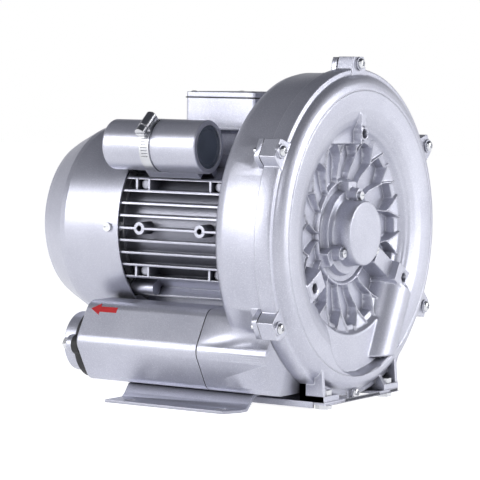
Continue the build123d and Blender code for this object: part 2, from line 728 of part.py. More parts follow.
def terminal_studs():
    """Six brass studs with nuts."""
    studs = []
    for x in (-16, 0, 16):
        for y in (105, 123):
            z = BOX_FLOOR_Z + 12
            nut = extrude(Pos(x, y, z) * RegularPolygon(4, 6), 3)
            studs.append(post(2, z, z + 8, x, y) + nut)
    return Compound(children=studs)


def gland_body():
    """Cable gland body screwed into the box wall."""
    body = spoke(10.0, BOX_HALF_X - 6, BOX_HALF_X, 113.5, 103)
    body = body + yz_hex(12.0, BOX_HALF_X, BOX_HALF_X + 5, 113.5, 103)
    body = body + spoke(9.0, BOX_HALF_X + 5, BOX_HALF_X + 12, 113.5, 103)
    return body - spoke(5.5, BOX_HALF_X - 8, BOX_HALF_X + 14, 113.5, 103)


def gland_nut():
    """Clamping cap of the cable gland with a domed end."""
    cap = yz_hex(11.5, BOX_HALF_X + 5.5, BOX_HALF_X + 15, 113.5, 103)
    dome = spoke(9.6, BOX_HALF_X + 15, BOX_HALF_X + 19, 113.5, 103)
    cap = cap + dome
    cap = cap - spoke(9.0, BOX_HALF_X + 4, BOX_HALF_X + 12, 113.5, 103)
    return cap - spoke(5.5, BOX_HALF_X + 4, BOX_HALF_X + 20, 113.5, 103)


def yz_hex(flat, x0, x1, y, z):
    """Hexagonal prism along X."""
    plane = Plane((x0, y, z), x_dir=(0, 1, 0), z_dir=(1, 0, 0))
    return extrude(plane * RegularPolygon(flat / math.cos(math.pi / 6), 6), x1 - x0)


# ------------------------------------------------------------- capacitor

def capacitor_can():
    """Run capacitor can with a rounded closed end."""
    can = rod(CAN_R, SLEEVE_FRONT_Y + 8, CAN_REAR_Y, CAN_X, CAN_Z)
    return fillet(can.faces().sort_by(Axis.Y)[-1].edges(), 2.5)


def capacitor_sleeve():
    """Protective cap over the terminal end of the can."""
    sleeve = rod(SLEEVE_R, SLEEVE_FRONT_Y, SLEEVE_REAR_Y, CAN_X, CAN_Z)
    sleeve = fillet(sleeve.faces().sort_by(Axis.Y)[0].edges(), 1.4)
    dish = rod(19.0, SLEEVE_FRONT_Y - 1, SLEEVE_FRONT_Y + 3, CAN_X, CAN_Z)
    return sleeve - rod(CAN_R, SLEEVE_FRONT_Y + 8, SLEEVE_REAR_Y + 1, CAN_X, CAN_Z) - dish


def capacitor_disc():
    """Dark end disc recessed in the sleeve."""
    disc = rod(18.9, SLEEVE_FRONT_Y + 1.4, SLEEVE_FRONT_Y + 3, CAN_X, CAN_Z)
    return disc - tube(16.2, 15.2, SLEEVE_FRONT_Y, SLEEVE_FRONT_Y + 2, CAN_X, CAN_Z)


def capacitor_bracket():
    """Saddle between the frame fins and the can."""
    tilt = math.degrees(math.atan2(CAN_Z, CAN_X))
    web = about_shaft(block(70, 99, 112, 166, -7, 0.5), tilt)
    wing = about_shaft(block(88, 97, 112, 166, -15, 15), tilt)
    body = web + wing
    body = body - rod(CAN_R, 90, 200, CAN_X, CAN_Z) - rod(SLEEVE_R, 90, SLEEVE_REAR_Y, CAN_X, CAN_Z)
    body = body - tube(CAN_R + 1.6, CAN_R - 1, 144, 156, CAN_X, CAN_Z)
    return body - motor_frame() - rod(FRAME_BODY, 60, 200)


def clamp_band():
    """Worm-drive band round the can with its housing."""
    band = tube(CAN_R + 1.2, CAN_R, 145, 155, CAN_X, CAN_Z)
    house = Pos(CAN_X, 150, CAN_Z) * Rot(0, -CLAMP_TILT, 0) * clamp_house()
    slots = []
    for k in range(9):
        tooth = block(CAN_R - 2, CAN_R + 3, -3.4, 3.4, -0.35, 0.35)
        slots.append(Pos(CAN_X, 150, CAN_Z) * Rot(0, -(CLAMP_TILT + 112 + 6.4 * k), 0) * tooth)
    return (band.cut(*slots) + house) - rod(CAN_R, 140, 160, CAN_X, CAN_Z)


def clamp_house():
    """Arched housing that wraps the worm, drawn on top of the band."""
    arch = block(-8, 8, -5.6, 5.6, CAN_R + 0.6, CAN_R + 5)
    hood = spoke(4.9, -8, 8, 0, CAN_R + 5)
    return arch + hood - spoke(3.6, -20, 20, 0, CAN_R + 5)


def clamp_worm():
    """Worm screw of the clamp with a slotted hexagon head."""
    screw = spoke(3.55, -9, 9.5, 0, CAN_R + 5)
    head = spoke(4.6, -15.5, -9, 0, CAN_R + 5)
    slot = block(-17, -14, -5, 5, CAN_R + 4.4, CAN_R + 5.6)
    return Pos(CAN_X, 150, CAN_Z) * Rot(0, -CLAMP_TILT, 0) * (screw + head - slot)


# ------------------------------------------------------------- silencers

def silencer():
    """Left silencer body: six-sided shell around the foam."""
    outline = Pos(-SILENCER_X, SILENCER_Z) * silencer_outline(SILENCER_FLAT)
    shell = slab(outline, SILENCER_FRONT_Y, SILENCER_REAR_Y)
    shell = chamfer(shell.faces().sort_by(Axis.Y)[-1].edges(), 2.5)
    room = slab(Pos(-SILENCER_X, SILENCER_Z) * silencer_outline(SILENCER_FLAT - 4),
                SILENCER_FRONT_Y + 6, SILENCER_REAR_Y - 8)
    front = rod(PORT_BORE, SILENCER_FRONT_Y - 1, SILENCER_FRONT_Y + 8, -SILENCER_X, SILENCER_Z + 9)
    rear = rod(PORT_BORE, SILENCER_REAR_Y - 10, SILENCER_REAR_Y + 1, -SILENCER_X, SILENCER_Z - 4)
    return shell.cut(room, front, rear)


def silencer_foam():
    """Foam liner with a straight bore."""
    outline = Pos(-SILENCER_X, SILENCER_Z) * silencer_outline(SILENCER_FLAT - 4)
    foam = slab(outline, SILENCER_FRONT_Y + 6, SILENCER_REAR_Y - 8)
    hole = slab(Pos(-SILENCER_X, SILENCER_Z + 2) * Circle(20), SILENCER_FRONT_Y, SILENCER_REAR_Y)
    return foam - hole


def silencer_gasket():
    """Seal between neck and silencer."""
    outline = Pos(-SILENCER_X, SILENCER_Z) * silencer_outline(SILENCER_FLAT - 0.7)
    ring = slab(outline, SILENCER_FRONT_Y - 1, SILENCER_FRONT_Y)
    return ring - rod(PORT_BORE, 60, 100, -SILENCER_X, SILENCER_Z + 9)


def flange_gasket():
    """Black oval gasket behind the port flange."""
    outline = SlotOverall(71, 62, rotation=90)
    plate = slab(Pos(-SILENCER_X, SILENCER_Z - 2) * outline, SILENCER_REAR_Y, FLANGE_Y)
    clip = slab(Pos(-SILENCER_X, SILENCER_Z) * silencer_outline(SILENCER_FLAT), 200, 240)
    return (plate & clip) - rod(PORT_BORE, 200, 240, -SILENCER_X, SILENCER_Z - 4) \
        - flange_holes(2.6)


def port_flange():
    """Round threaded port flange with two ears."""
    z = SILENCER_Z - 4
    disc = rod(FLANGE_RADIUS, FLANGE_Y, FLANGE_Y + 15, -SILENCER_X, z)
    disc = chamfer(disc.faces().sort_by(Axis.Y)[-1].edges(), 1.2)
    ears = slab(Pos(-SILENCER_X, z) * SlotOverall(70, 16, rotation=0), FLANGE_Y, FLANGE_Y + 6)
    seats = [rod(5.6, FLANGE_Y + 6, 260, -SILENCER_X + off, z) for off in (-28.5, 28.5)]
    return (disc + ears).cut(rod(PORT_THREAD, 200, 260, -SILENCER_X, z), flange_holes(2.8), *seats)


def flange_holes(radius):
    """Two bolt holes either side of the port."""
    left = rod(radius, 190, 260, -SILENCER_X - 28.5, SILENCER_Z - 4)
    return left + rod(radius, 190, 260, -SILENCER_X + 28.5, SILENCER_Z - 4)


def flange_bolts():
    """Hexagon bolts of both port flanges."""
    bolts = []
    for side in (-1, 1):
        for off in (-28.5, 28.5):
            x = side * SILENCER_X + off
            z = SILENCER_Z - 4
            shank = rod(2.5, SILENCER_REAR_Y, FLANGE_Y + 6, x, z)
            bolts.append(shank + hex_head(4.5, FLANGE_Y + 6, FLANGE_Y + 11, x, z))
    return Compound(children=bolts)


# ------------------------------------------------------------ base plate

def base_section():
    """Folded base profile seen along Y: two floor flanges and a bridge."""
    t = PLATE_T
    top = BRIDGE_TOP
    floor = -SHAFT_HEIGHT
    return Polygon((-BASE_HALF, floor), (-103, floor), (-98, floor + 4.5), (-92, top - t - 1.2),
                   (-87, top - t), (87, top - t), (92, top - t - 1.2), (98, floor + 4.5),
                   (103, floor), (BASE_HALF, floor), (BASE_HALF, floor + t),
                   (104, floor + t), (100, floor + t + 3.4), (94, top - 1.2), (88, top),
                   (-88, top), (-94, top - 1.2), (-100, floor + t + 3.4), (-104, floor + t),
                   (-BASE_HALF, floor + t), align=None)


def base_tongue():
    """Lower tongue under the cover legs, with folded-down lips."""
    x = TONGUE_HALF
    t = PLATE_T
    y0 = LEG_FRONT_Y - 3
    side_view = Plane((-x, 0, 0), x_dir=(0, 1, 0), z_dir=(1, 0, 0))
    run = Polygon((y0, TONGUE_TOP - t), (STEP_Y + 1, TONGUE_TOP - t),
                  (STEP_Y + 9, BRIDGE_TOP - t), (STEP_Y + 12, BRIDGE_TOP - t),
                  (STEP_Y + 12, BRIDGE_TOP), (STEP_Y + 8, BRIDGE_TOP),
                  (STEP_Y, TONGUE_TOP), (y0, TONGUE_TOP), align=None)
    sheet = extrude(side_view * run, 2 * x)
    lips = [block(s * x - t / 2, s * x + t / 2, y0 + 14, STEP_Y, TONGUE_TOP - 5.5,
                  TONGUE_TOP) for s in (-1, 1)]
    front = slab(Polygon((-64, TONGUE_TOP), (64, TONGUE_TOP), (58, -SHAFT_HEIGHT),
                         (-61, -SHAFT_HEIGHT), align=None), y0, y0 + t)
    window = block(-22, 22, y0 + 2.8, 34, TONGUE_TOP - 4, TONGUE_TOP + 1)
    return sheet.fuse(*lips, front) - window


def base_plate():
    """Folded sheet base carrying blower and silencers."""
    body = slab(base_section(), STEP_Y + 11, BASE_REAR_Y)
    wings = slab(base_section(), BASE_FRONT_Y, STEP_Y + 12)
    wings = wings - block(-TONGUE_HALF - 2, TONGUE_HALF + 2, 40, STEP_Y + 11, -160, -130)
    body = body.fuse(base_tongue(), wings)
    cuts = []
    for side in (-1, 1):
        corner = Polygon((side * 131, BASE_FRONT_Y - 1), (side * 112, BASE_FRONT_Y - 1),
                         (side * 131, BASE_FRONT_Y + 9), align=None)
        cuts.append(extrude(Plane((0, 0, -152)) * corner, 8, dir=(0, 0, 1)))
        for dy in (-FOOT_PITCH_Y / 2, FOOT_PITCH_Y / 2):
            cuts.append(post(FOOT_HOLE_R, -152, -140, side * FOOT_HALF_X, FOOT_CENTRE_Y + dy))
        cuts.append(post(4.3, TONGUE_TOP - 5, TONGUE_TOP + 1, side * LEG_X, LEG_FRONT_Y + 8))
        cuts.append(block(side * 84 - 4, side * 84 + 4, 83, 86, BRIDGE_TOP - 4, BRIDGE_TOP + 1))
    return body.cut(*cuts)


def leg_bolts():
    """Vertical bolts through legs and base plate."""
    bolts = []
    for side in (-1, 1):
        x = side * LEG_X
        y = LEG_FRONT_Y + 8
        head = extrude(Plane((x, y, TONGUE_TOP + 5)) * RegularPolygon(7.0, 6), 4.5)
        shank = post(4.0, TONGUE_TOP - PLATE_T - 4.8, TONGUE_TOP + 5, x, y)
        bolts.append(head + shank)
    return Compound(children=bolts)


def leg_nuts():
    """Thin nuts under the base plate on the leg bolts."""
    nuts = []
    for side in (-1, 1):
        x = side * LEG_X
        y = LEG_FRONT_Y + 8
        nut = extrude(Plane((x, y, TONGUE_TOP - PLATE_T - 4.6)) * RegularPolygon(7.2, 6), 4.6)
        nuts.append(nut - post(4.0, TONGUE_TOP - 12, TONGUE_TOP, x, y))
    return Compound(children=nuts)


def all_nodes():
    """Every node name with its finished solid in the drawing frame."""
    nodes = {
        "front_cover": front_cover(),
        "blower_housing": blower_housing(),
        "housing_gasket": housing_gasket(),
        "cover_bolts": cover_bolts(),
        "hub_screws": hub_screws(),
        "impeller": impeller(),
        "impeller_key": impeller_key(),
        "impeller_washer": impeller_washer(),
        "impeller_bolt": impeller_bolt(),
        "shaft_seal": shaft_seal(),
        "motor_shaft": motor_shaft(),
        "motor_frame": motor_frame(),
        "frame_screws": frame_screws(),
        "stator_core": stator_core(),
        "stator_windings": stator_windings(),
        "rotor_core": rotor_core(),
        "rotor_rings": rotor_rings(),
        "rear_endshield": rear_endshield(),
        "wave_washer": wave_washer(),
        "shield_bolts": shield_bolts(),
        "cooling_fan": cooling_fan(),
        "fan_clip": fan_clip(),
        "fan_cowl": fan_cowl(),
        "cowl_screws": cowl_screws(),
        "terminal_box": terminal_box(),
        "terminal_box_gasket": box_gasket(),
        "terminal_box_lid": box_lid(),
        "terminal_box_screws": lid_screws(),
        "terminal_board": terminal_board(),
        "terminal_studs": terminal_studs(),
        "gland_body": gland_body(),
        "gland_nut": gland_nut(),
        "capacitor_can": capacitor_can(),
        "capacitor_sleeve": capacitor_sleeve(),
        "capacitor_disc": capacitor_disc(),
        "capacitor_bracket": capacitor_bracket(),
        "clamp_band": clamp_band(),
        "clamp_worm": clamp_worm(),
        "silencer_left": silencer(),
        "silencer_right": mirrored(silencer()),
        "silencer_foam_left": silencer_foam(),
        "silencer_foam_right": mirrored(silencer_foam()),
        "silencer_gasket_left": silencer_gasket(),
        "silencer_gasket_right": mirrored(silencer_gasket()),
        "flange_gasket_left": flange_gasket(),
        "flange_gasket_right": mirrored(flange_gasket()),
        "port_flange_left": port_flange(),
        "port_flange_right": mirrored(port_flange()),
        "flange_bolts": flange_bolts(),
        "base_plate": base_plate(),
        "leg_bolts": leg_bolts(),
        "leg_nuts": leg_nuts(),
    }
    for end, y0 in (("front", FRONT_BEARING_Y), ("rear", REAR_BEARING_Y)):
        nodes[end + "_bearing_outer"] = bearing_outer(y0)
        nodes[end + "_bearing_inner"] = bearing_inner(y0)
        nodes[end + "_bearing_balls"] = bearing_balls(y0)
    return nodes


def main():
    """Write every node as a STEP file standing on its base."""
    os.makedirs("parts", exist_ok=True)
    lift = Location((0, -FOOT_CENTRE_Y, SHAFT_HEIGHT))
    for name, shape in all_nodes().items():
        export_step(shape.moved(lift), "parts/" + name + ".step")


main()
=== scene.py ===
"""Finished model of a side channel blower.

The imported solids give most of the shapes.  This script gives every solid its finish, makes
the pieces that are too fine for the solids, and stands the blower in a plain white studio.
Sizes are millimetres of the drawing unless a field says otherwise; drawing() turns them
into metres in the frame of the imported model.
"""
import json
import logging
import math
from dataclasses import dataclass, field
from enum import Enum

import bmesh
import bpy
import numpy as np
from mathutils import Matrix, Vector


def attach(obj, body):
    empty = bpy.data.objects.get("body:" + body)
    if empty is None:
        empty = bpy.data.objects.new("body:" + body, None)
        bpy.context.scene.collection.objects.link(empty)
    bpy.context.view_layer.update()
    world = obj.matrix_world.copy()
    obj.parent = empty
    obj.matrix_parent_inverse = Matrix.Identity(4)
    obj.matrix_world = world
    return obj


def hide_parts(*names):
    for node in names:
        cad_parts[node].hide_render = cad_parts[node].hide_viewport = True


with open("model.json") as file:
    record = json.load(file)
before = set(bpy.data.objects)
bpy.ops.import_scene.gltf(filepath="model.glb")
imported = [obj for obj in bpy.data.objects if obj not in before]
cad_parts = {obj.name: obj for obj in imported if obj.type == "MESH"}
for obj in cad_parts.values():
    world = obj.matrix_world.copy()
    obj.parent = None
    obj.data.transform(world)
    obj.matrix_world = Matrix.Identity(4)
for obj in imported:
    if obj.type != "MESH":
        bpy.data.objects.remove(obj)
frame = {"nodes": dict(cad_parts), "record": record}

LOG = logging.getLogger("blower")
MM = 0.001
SHAFT_HEIGHT = 0.1505
FOOT_CENTRE_Y = 0.107
BOLT_SPOTS = ((148, 30), (148, 90), (148, 150), (148, 210), (141, 270), (148, 330))
SMALLEST_RADIUS = 0.01
Colour = tuple[float, float, float]
Point = tuple[float, float]
Rings = list[list[bmesh.types.BMVert]]


def drawing(x: float, y: float, z: float) -> Vector:
    """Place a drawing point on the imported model.

    Args:
        x: Millimetres to the right of the shaft.
        y: Millimetres behind the front edge of the cover rim.
        z: Millimetres above the shaft.

    Returns:
        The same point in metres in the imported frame.
    """
    return Vector((x * MM, y * MM - FOOT_CENTRE_Y, z * MM + SHAFT_HEIGHT))


class Side(Enum):
    """The two sides of the machine as seen from the front cover."""

    LEFT = -1
    RIGHT = 1


class Slot(Enum):
    """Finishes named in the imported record."""

    CASTING = "silver_casting"
    SHEET = "silver_sheet"
    BARE = "bare_cast_aluminium"
    ZINC = "zinc_steel"
    GROUND = "ground_steel"
    LAMINATION = "lamination_steel"
    RUBBER = "black_rubber"
    FOAM = "foam"
    BLACK = "black_plastic"
    SLATE = "slate_plastic"
    GREY = "grey_plastic"
    BOARD = "board"
    BRASS = "brass"
    COPPER = "copper_windings"


# ------------------------------------------------------------------ shader building

class Tree:
    """Small helper that places and links nodes in one node tree."""

    def __init__(self, tree: bpy.types.NodeTree) -> None:
        """Keep the tree that the nodes go into."""
        self.tree = tree

    def add(self, kind: str, **values: object) -> bpy.types.Node:
        """Add one node and set its properties and plain inputs.

        Args:
            kind: Node type name.
            values: Properties by name, or inputs as in_NAME with spaces as underscores.

        Returns:
            The new node.
        """
        node = self.tree.nodes.new(kind)
        for key, value in values.items():
            if key.startswith("in_"):
                node.inputs[key[3:].replace("_", " ")].default_value = value
            else:
                setattr(node, key, value)
        return node

    def link(self, source: bpy.types.NodeSocket, target: bpy.types.NodeSocket) -> None:
        """Join an output to an input."""
        self.tree.links.new(source, target)

    def maths(self, kind: str, first: object, second: object) -> bpy.types.NodeSocket:
        """Add a Math node.

        Args:
            kind: Operation name.
            first: Number or output for the first input.
            second: Number or output for the second input.

        Returns:
            The node's output.
        """
        node = self.add("ShaderNodeMath", operation=kind)
        for socket, value in zip(node.inputs, (first, second)):
            if isinstance(value, (int, float)):
                socket.default_value = value
            else:
                self.link(value, socket)
        return node.outputs[0]

    def blend(self, mask: bpy.types.NodeSocket, low: object, high: object) -> bpy.types.NodeSocket:
        """Mix two colours by a mask.

        Args:
            mask: Output between 0 and 1.
            low: Colour or output where the mask is 0.
            high: Colour or output where the mask is 1.

        Returns:
            The mixed colour.
        """
        node = self.add("ShaderNodeMix", data_type="RGBA")
        self.link(mask, node.inputs[0])
        for socket, value in ((node.inputs[6], low), (node.inputs[7], high)):
            if isinstance(value, tuple):
                socket.default_value = (*value, 1.0)
            else:
                self.link(value, socket)
        return node.outputs[2]

    def ramp(self, source: bpy.types.NodeSocket, low: float, high: float) -> bpy.types.NodeSocket:
        """Stretch a value so that low becomes 0 and high becomes 1.

        Args:
            source: Output to stretch.
            low: Value that becomes 0.
            high: Value that becomes 1.

        Returns:
            The stretched value, held between 0 and 1.
        """
        node = self.add("ShaderNodeMapRange")
        node.clamp = True
        self.link(source, node.inputs["Value"])
        node.inputs["From Min"].default_value = low
        node.inputs["From Max"].default_value = high
        return node.outputs["Result"]


def new_group(name: str, numbers: dict[str, float], outputs: dict[str, str]) -> bpy.types.NodeTree:
    """Make an empty shader group with named inputs and outputs.

    Args:
        name: Name of the group.
        numbers: Input names with their default values.
        outputs: Output names with their socket types.

    Returns:
        The group, holding only its input and output nodes.
    """
    group = bpy.data.node_groups.new(name, "ShaderNodeTree")
    for label, value in numbers.items():
        socket = group.interface.new_socket(label, in_out="INPUT", socket_type="NodeSocketFloat")
        socket.default_value = value
    for label, kind in outputs.items():
        group.interface.new_socket(label, in_out="OUTPUT", socket_type=kind)
    group.nodes.new("NodeGroupInput")
    group.nodes.new("NodeGroupOutput")
    return group


@dataclass
class SurfaceEffects:
    """Shader groups that several finishes share."""

    grain: bpy.types.NodeTree = field(init=False)
    soft_edge: bpy.types.NodeTree = field(init=False)
    flakes: bpy.types.NodeTree = field(init=False)
    painted_gap_shade: bpy.types.NodeTree = field(init=False)

    def __post_init__(self) -> None:
        """Build each group once."""
        self.painted_gap_shade = self.build_painted_gap_shade()
        self.grain = self.build_grain()
        self.soft_edge = self.build_soft_edge()
        self.flakes = self.build_flakes()

    def build_grain(self) -> bpy.types.NodeTree:
        """Skin of a sprayed casting: fine grain over slow unevenness.

        Returns:
            Group with Grains per Metre and Patches per Metre, giving Height and Patches.
        """
        group = new_group("skin grain", {"Grains per Metre": 900.0, "Patches per Metre": 30.0},
                          {"Height": "NodeSocketFloat", "Patches": "NodeSocketFloat"})
        tree = Tree(group)
        inside, outside = group.nodes["Group Input"], group.nodes["Group Output"]
        place = tree.add("ShaderNodeTexCoord")
        fine = tree.add("ShaderNodeTexNoise", in_Detail=3.0, in_Roughness=0.6)
        slow = tree.add("ShaderNodeTexNoise", in_Detail=2.0, in_Roughness=0.5)
        tree.link(place.outputs["Object"], fine.inputs["Vector"])
        tree.link(place.outputs["Object"], slow.inputs["Vector"])
        tree.link(inside.outputs["Grains per Metre"], fine.inputs["Scale"])
        tree.link(inside.outputs["Patches per Metre"], slow.inputs["Scale"])
        tree.link(fine.outputs[0], outside.inputs["Height"])
        tree.link(tree.ramp(slow.outputs[0], 0.32, 0.68), outside.inputs["Patches"])
        return group

    def build_soft_edge(self) -> bpy.types.NodeTree:
        """Rounded edges and a mask of the edges, where a painted highlight goes.

        Returns:
            Group with Radius in metres, giving Normal and Edge.
        """
        group = new_group("soft edge", {"Radius": 0.001},
                          {"Normal": "NodeSocketVector", "Edge": "NodeSocketFloat"})
        tree = Tree(group)
        inside, outside = group.nodes["Group Input"], group.nodes["Group Output"]
        rounded = tree.add("ShaderNodeBevel", samples=6)
        tree.link(inside.outputs["Radius"], rounded.inputs["Radius"])
        shape = tree.add("ShaderNodeNewGeometry")
        turn = tree.add("ShaderNodeVectorMath", operation="DOT_PRODUCT")
        tree.link(rounded.outputs["Normal"], turn.inputs[0])
        tree.link(shape.outputs["Normal"], turn.inputs[1])
        tree.link(rounded.outputs["Normal"], outside.inputs["Normal"])
        flat = tree.ramp(turn.outputs["Value"], 0.80, 0.995)
        tree.link(tree.maths("SUBTRACT", 1.0, flat), outside.inputs["Edge"])
        return group

    def build_painted_gap_shade(self) -> bpy.types.NodeTree:
        """Mask of deep gaps, where shade is painted into the colour.

        Returns:
            Group with Reach in metres, giving Depth between 0 and 1.
        """
        group = new_group("painted shade in deep gaps", {"Reach": 0.014}, {"Depth": "NodeSocketFloat"})
        tree = Tree(group)
        inside, outside = group.nodes["Group Input"], group.nodes["Group Output"]
        # ambient occlusion marks the gaps that get painted shade
        open_sky = tree.add("ShaderNodeAmbientOcclusion", samples=6)
        tree.link(inside.outputs["Reach"], open_sky.inputs["Distance"])
        shut = tree.maths("SUBTRACT", 1.0, open_sky.outputs["AO"])
        tree.link(tree.ramp(shut, 0.30, 0.85), outside.inputs["Depth"])
        return group

    def build_flakes(self) -> bpy.types.NodeTree:
        """Bright flakes of aluminium paint.

        Returns:
            Group with Flakes per Metre and Share, giving Spark between 0 and 1.
        """
        group = new_group("paint flakes", {"Flakes per Metre": 1400.0, "Share": 0.25},
                          {"Spark": "NodeSocketFloat"})
        tree = Tree(group)
        inside, outside = group.nodes["Group Input"], group.nodes["Group Output"]
        place = tree.add("ShaderNodeTexCoord")
        cells = tree.add("ShaderNodeTexVoronoi", feature="F1")
        tree.link(place.outputs["Object"], cells.inputs["Vector"])
        tree.link(inside.outputs["Flakes per Metre"], cells.inputs["Scale"])
        split = tree.add("ShaderNodeSeparateColor")
        tree.link(cells.outputs["Color"], split.inputs[0])
        chosen = tree.maths("LESS_THAN", split.outputs[0], inside.outputs["Share"])
        strength = tree.maths("MULTIPLY", chosen, tree.maths("MULTIPLY", split.outputs[1], 0.6))
        tree.link(strength, outside.inputs["Spark"])
        return group


@dataclass(frozen=True)
class Finish:
    """A surface with grain, soft edges, slow colour change and optional flakes, painted edge
    highlight and gap shade.

    Radii and grain depths are metres.
    """

    name: str
    colour: Colour
    shade: Colour
    metallic: float
    roughness: float
    roughness_spread: float = 0.08
    # painted highlight: lighter colour blended onto the edges
    edge_highlight_colour: Colour | None = None
    edge_radius: float = 0.0008
    grains: float = 900.0
    grain_depth: float = 0.00004
    patches: float = 30.0
    flakes: float = 0.0
    flake_colour: Colour = (0.95, 0.95, 1.0)
    # painted shade: dark colour blended into deep gaps in place of their shadow
    gap_shade_colour: Colour | None = None

    def make(self, effects: SurfaceEffects) -> bpy.types.Material:
        """Build the material.

        Args:
            effects: The shared shader groups.

        Returns:
            The finished material.
        """
        material = bpy.data.materials.new(self.name)
        material.use_nodes = True
        tree = Tree(material.node_tree)
        shader = material.node_tree.nodes["Principled BSDF"]
        shader.inputs["Metallic"].default_value = self.metallic
        grain = tree.add("ShaderNodeGroup", node_tree=effects.grain)
        grain.inputs["Grains per Metre"].default_value = self.grains
        grain.inputs["Patches per Metre"].default_value = self.patches
        edge = tree.add("ShaderNodeGroup", node_tree=effects.soft_edge)
        edge.inputs["Radius"].default_value = self.edge_radius
        colour = tree.blend(grain.outputs["Patches"], self.shade, self.colour)
        # painted highlight: edges are blended towards a lighter colour
        if self.edge_highlight_colour is not None:
            colour = tree.blend(edge.outputs["Edge"], colour, self.edge_highlight_colour)
        if self.flakes:
            spark = tree.add("ShaderNodeGroup", node_tree=effects.flakes)
            spark.inputs["Flakes per Metre"].default_value = self.flakes
            colour = tree.blend(spark.outputs["Spark"], colour, self.flake_colour)
        # painted shade: deep gaps are darkened towards a dark colour
        if self.gap_shade_colour is not None:
            gap_shade_mask = tree.add("ShaderNodeGroup", node_tree=effects.painted_gap_shade)
            colour = tree.blend(gap_shade_mask.outputs["Depth"], colour, self.gap_shade_colour)
        tree.link(colour, shader.inputs["Base Color"])
        spread = tree.maths("MULTIPLY", grain.outputs["Height"], self.roughness_spread)
        rough = tree.maths("ADD", spread, self.roughness - self.roughness_spread / 2)
        tree.link(rough, shader.inputs["Roughness"])
        bump = tree.add("ShaderNodeBump", in_Strength=1.0, in_Distance=self.grain_depth)
        tree.link(grain.outputs["Height"], bump.inputs["Height"])
        tree.link(edge.outputs["Normal"], bump.inputs["Normal"])
        tree.link(bump.outputs["Normal"], shader.inputs["Normal"])
        return material


# edge colours below are painted highlights on edges and crests
FINISHES: dict[Slot, Finish] = {
    # crevice colours below are painted shade in deep gaps
    Slot.CASTING: Finish(
        "silver cast paint", (0.56, 0.57, 0.66), (0.49, 0.50, 0.59), metallic=0.60,
        roughness=0.36, roughness_spread=0.20, edge_highlight_colour=(0.82, 0.83, 0.92),
        edge_radius=0.0012, grains=620.0, grain_depth=0.00009, patches=22.0, flakes=2600.0,
        flake_colour=(0.86, 0.87, 0.95), gap_shade_colour=(0.07, 0.07, 0.09)),
    Slot.SHEET: Finish(
        "silver sheet paint", (0.56, 0.57, 0.66), (0.51, 0.52, 0.61), metallic=0.60,
        roughness=0.33, roughness_spread=0.14, edge_highlight_colour=(0.82, 0.83, 0.92),
        edge_radius=0.0009, grains=1000.0, grain_depth=0.00004, patches=18.0, flakes=3000.0,
        flake_colour=(0.82, 0.83, 0.92), gap_shade_colour=(0.09, 0.09, 0.11)),
    Slot.BARE: Finish(
        "shot blasted aluminium", (0.62, 0.63, 0.65), (0.52, 0.53, 0.55), metallic=0.85,
        roughness=0.42, roughness_spread=0.15, edge_highlight_colour=(0.78, 0.78, 0.80),
        edge_radius=0.0007, grains=1200.0, grain_depth=0.00005),
    Slot.ZINC: Finish(
        "zinc plated steel", (0.70, 0.71, 0.74), (0.58, 0.59, 0.62), metallic=0.95,
        roughness=0.30, roughness_spread=0.12, edge_highlight_colour=(0.85, 0.85, 0.88),
        edge_radius=0.0004, grains=1500.0, grain_depth=0.00002),
    Slot.GROUND: Finish(
        "ground steel", (0.56, 0.57, 0.59), (0.48, 0.49, 0.51), metallic=1.0,
        roughness=0.22, roughness_spread=0.08, edge_highlight_colour=(0.72, 0.72, 0.74),
        edge_radius=0.0004, grains=2500.0, grain_depth=0.00001),
    Slot.LAMINATION: Finish(
        "stacked sheet steel", (0.30, 0.31, 0.33), (0.22, 0.22, 0.24), metallic=0.85,
        roughness=0.45, roughness_spread=0.10, edge_radius=0.0004, grains=2000.0,
        grain_depth=0.00003),
    Slot.RUBBER: Finish(
        "matt rubber", (0.030, 0.030, 0.034), (0.020, 0.020, 0.023), metallic=0.0,
        roughness=0.62, roughness_spread=0.15, edge_highlight_colour=(0.07, 0.07, 0.08),
        edge_radius=0.0007, grains=1600.0, grain_depth=0.00004),
    Slot.FOAM: Finish(
        "open cell foam", (0.06, 0.06, 0.065), (0.03, 0.03, 0.034), metallic=0.0,
        roughness=0.95, roughness_spread=0.05, edge_radius=0.0010, grains=500.0,
        grain_depth=0.0006),
    Slot.BLACK: Finish(
        "black moulded plastic", (0.035, 0.035, 0.038), (0.025, 0.025, 0.028), metallic=0.0,
        roughness=0.42, roughness_spread=0.12, edge_highlight_colour=(0.08, 0.08, 0.085),
        edge_radius=0.0006, grains=1400.0, grain_depth=0.00003),
    Slot.SLATE: Finish(
        "slate potting resin", (0.10, 0.12, 0.16), (0.07, 0.085, 0.115), metallic=0.0,
        roughness=0.40, roughness_spread=0.14, edge_highlight_colour=(0.20, 0.22, 0.27),
        edge_radius=0.0006, grains=900.0, grain_depth=0.00004),
    Slot.GREY: Finish(
        "grey moulded plastic", (0.24, 0.25, 0.27), (0.20, 0.21, 0.23), metallic=0.0,
        roughness=0.38, roughness_spread=0.10, edge_highlight_colour=(0.34, 0.35, 0.37),
        edge_radius=0.0006, grains=1400.0, grain_depth=0.00002),
    Slot.BOARD: Finish(
        "brown moulded board", (0.26, 0.11, 0.055), (0.18, 0.075, 0.04), metallic=0.0,
        roughness=0.45, roughness_spread=0.10, edge_highlight_colour=(0.36, 0.18, 0.10),
        edge_radius=0.0004, grains=1500.0, grain_depth=0.00002),
    Slot.BRASS: Finish(
        "bare brass", (0.80, 0.60, 0.28), (0.66, 0.47, 0.20), metallic=1.0,
        roughness=0.28, roughness_spread=0.12, edge_highlight_colour=(0.92, 0.76, 0.45),
        edge_radius=0.0003, grains=1800.0, grain_depth=0.00002),
    Slot.COPPER: Finish(
        "varnished windings", (0.50, 0.20, 0.08), (0.34, 0.12, 0.05), metallic=0.3,
        roughness=0.35, roughness_spread=0.15, edge_radius=0.0006, grains=700.0,
        grain_depth=0.0004),
}


